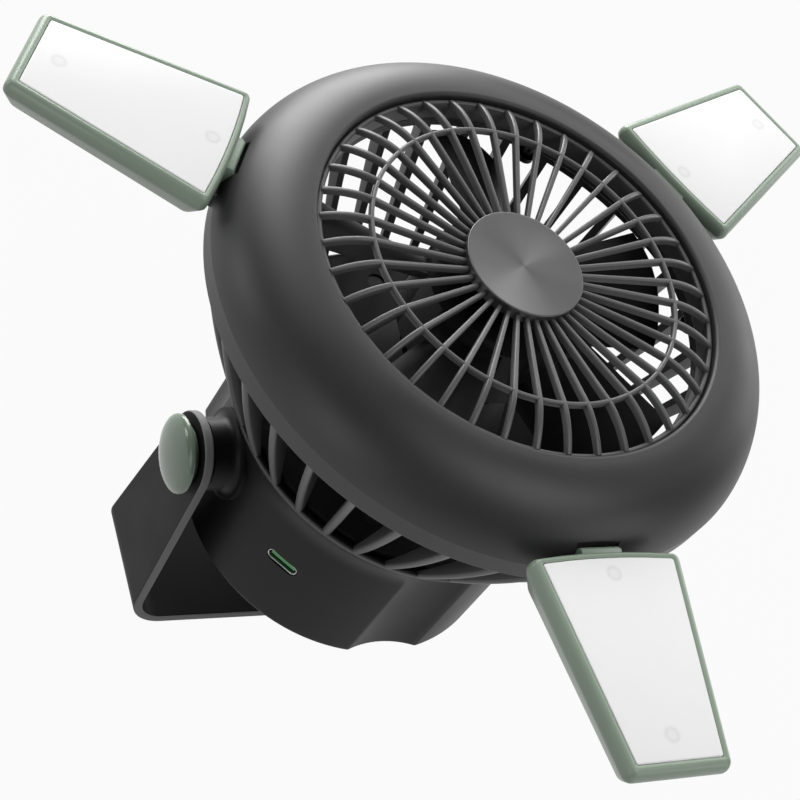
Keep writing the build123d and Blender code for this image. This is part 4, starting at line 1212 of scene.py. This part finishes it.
light_white = milky_white()
lamp_board = textured("lamp_board", (0.80, 0.80, 0.78), 0.40, grain=1200.0)
dark_steel = textured("dark_steel", (0.06, 0.06, 0.06), 0.40, grain=metal_grain)
light_screw = screw_shape("light_screw_pattern", light_screw_head_r, light_screw_head_t,
                          light_screw_shank_r, light_screw_length)
seat_profile = [(0.0, screw_seat_low_z), (screw_seat_r, screw_seat_low_z),
                (screw_seat_r, screw_seat_z), (0.0, screw_seat_z)]
for name, deg in light_degs.items():
    turn = Matrix.Rotation(math.radians(deg), 4, "Z")
    bm = tray_mesh()
    bm.transform(turn)
    tray = settle(f"light_tray_{name}", bm, satin_sage, light_crease_deg)
    seats = bmesh.new()
    for x in post_xs:
        turned(seats, seat_profile, screw_seat_steps, turn @ Matrix.Translation((x, 0.0, 0.0)))
    cut_from(tray, seats, light_crease_deg)
    fitted(tray, f"{name}_light", "sage_plastic", f"wing_shell_{name}")

    bm = cover_mesh()
    bm.transform(turn)
    cover = settle(f"light_cover_{name}", bm, light_white, light_crease_deg)
    layout = cover.data.uv_layers.new(name="along_light")
    for loop in cover.data.loops:
        spot = turn.inverted() @ cover.data.vertices[loop.vertex_index].co
        layout.data[loop.index].uv = (spot.x * layout_scale, spot.y * layout_scale + layout_middle)
    fitted(cover, f"{name}_light", "diffuser_white", f"wing_diffuser_{name}")

    places = bmesh.new()
    for x in post_xs:
        places.verts.new(turn @ Vector((x, 0.0, screw_seat_z)))
    screws = repeated(f"light_screws_{name}", copies_on_points, places, zinc, light_screw,
                      fine_crease_deg, Size=1.0)
    fitted(screws, f"{name}_light", "zinc_steel", f"wing_screws_{name}")
    dressed(f"wing_board_{name}", lamp_board)
    dressed(f"hinge_pin_{name}", dark_steel)
discarded(light_screw)

# Studio
# A white floor, soft lamps above and to the sides, and the camera where the picture was taken:
# above the front left of the fan, rolled so that the stand hangs to the lower left.
floor_reach = 4.0
paper_grey = 0.16
paper_roughness = 0.9
white_share = 0.95
sky_strength = 0.11
fan_middle = Vector((0.0, 0.0, 0.11))
floor_mesh = bpy.data.meshes.new("studio_floor")
floor_corners = [(x * floor_reach, y * floor_reach, 0.0)
                 for x, y in ((-1, -1), (1, -1), (1, 1), (-1, 1))]
floor_mesh.from_pydata(floor_corners, [], [(0, 1, 2, 3)])
floor = bpy.data.objects.new("studio_floor", floor_mesh)
bpy.context.scene.collection.objects.link(floor)


def seen_white(tree, shade, share):
    """Shader that a direct, mirrored or clear view sees as mostly white, with a faint shadow."""
    add, link = tree.nodes.new, tree.links.new
    path = add("ShaderNodeLightPath")
    seen = path.outputs["Is Camera Ray"]
    for ray in ("Is Glossy Ray", "Is Transmission Ray"):
        either = add("ShaderNodeMath")
        either.operation = "ADD"
        either.use_clamp = True
        link(seen, either.inputs[0])
        link(path.outputs[ray], either.inputs[1])
        seen = either.outputs["Value"]
    part = add("ShaderNodeMath")
    part.operation = "MULTIPLY"
    part.inputs[1].default_value = share
    link(seen, part.inputs[0])
    glow = add("ShaderNodeEmission")
    mix = add("ShaderNodeMixShader")
    link(part.outputs["Value"], mix.inputs["Fac"])
    link(shade, mix.inputs[1])
    link(glow.outputs["Emission"], mix.inputs[2])
    return mix.outputs["Shader"]


paper = bpy.data.materials.new("studio_paper")
paper.use_nodes = True
set_inputs(shader_of(paper), {"Base Color": (paper_grey, paper_grey, paper_grey, 1.0),
                              "Roughness": paper_roughness})
paper_out = paper.node_tree.nodes["Material Output"]
white_view = seen_white(paper.node_tree, shader_of(paper).outputs["BSDF"], white_share)
paper.node_tree.links.new(white_view, paper_out.inputs["Surface"])
floor_mesh.materials.append(paper)

world = bpy.data.worlds.new("studio_sky")
world.use_nodes = True
sky = world.node_tree.nodes["Background"]
set_inputs(sky, {"Color": (1.0, 1.0, 1.0, 1.0), "Strength": sky_strength})
bpy.context.scene.world = world

for name, place, size, power in (
    ("key_lamp", (0.12, 1.25, 0.45), 0.9, 23.0),
    ("back_lamp", (-0.3, 0.8, 0.95), 0.8, 3.0),
    ("crown_lamp", (0.73, 0.66, 0.79), 0.6, 2.7),
    ("top_lamp", (0.30, -0.50, 1.15), 0.7, 4.8),
    ("right_lamp", (1.2, 0.4, 0.3), 0.8, 4.2),
    ("left_lamp", (-0.9, -0.45, 0.4), 0.6, 1.9),
    ("front_lamp", (0.73, -0.94, 0.48), 0.6, 2.2),
    ("low_lamp", (-1.02, 0.62, 0.28), 0.35, 1.8),
):
    light = bpy.data.lights.new(name, "AREA")
    light.size = size
    light.energy = power
    lamp = bpy.data.objects.new(name, light)
    lamp.location = place
    lamp.rotation_euler = (fan_middle - Vector(place)).to_track_quat("-Z", "Y").to_euler()
    lamp.visible_camera = False
    bpy.context.scene.collection.objects.link(lamp)

camera_data = bpy.data.cameras.new("camera")
camera_data.lens = 91.2
camera_data.sensor_width = 36.0
camera_data.sensor_fit = "HORIZONTAL"
camera_data.clip_start = 0.02
camera = bpy.data.objects.new("camera", camera_data)
camera_place = Matrix.Translation((-0.2508, -0.2372, 0.4458))
look = Vector((0.4922, 0.4766, -0.7284)).normalized()
right = Vector((0.8705, -0.2656, 0.4144))
right = (right - look * right.dot(look)).normalized()
up = right.cross(look)
camera.matrix_world = camera_place @ Matrix((right, up, -look)).transposed().to_4x4()
bpy.context.scene.collection.objects.link(camera)
bpy.context.scene.camera = camera
bpy.context.scene.view_settings.view_transform = "Standard"
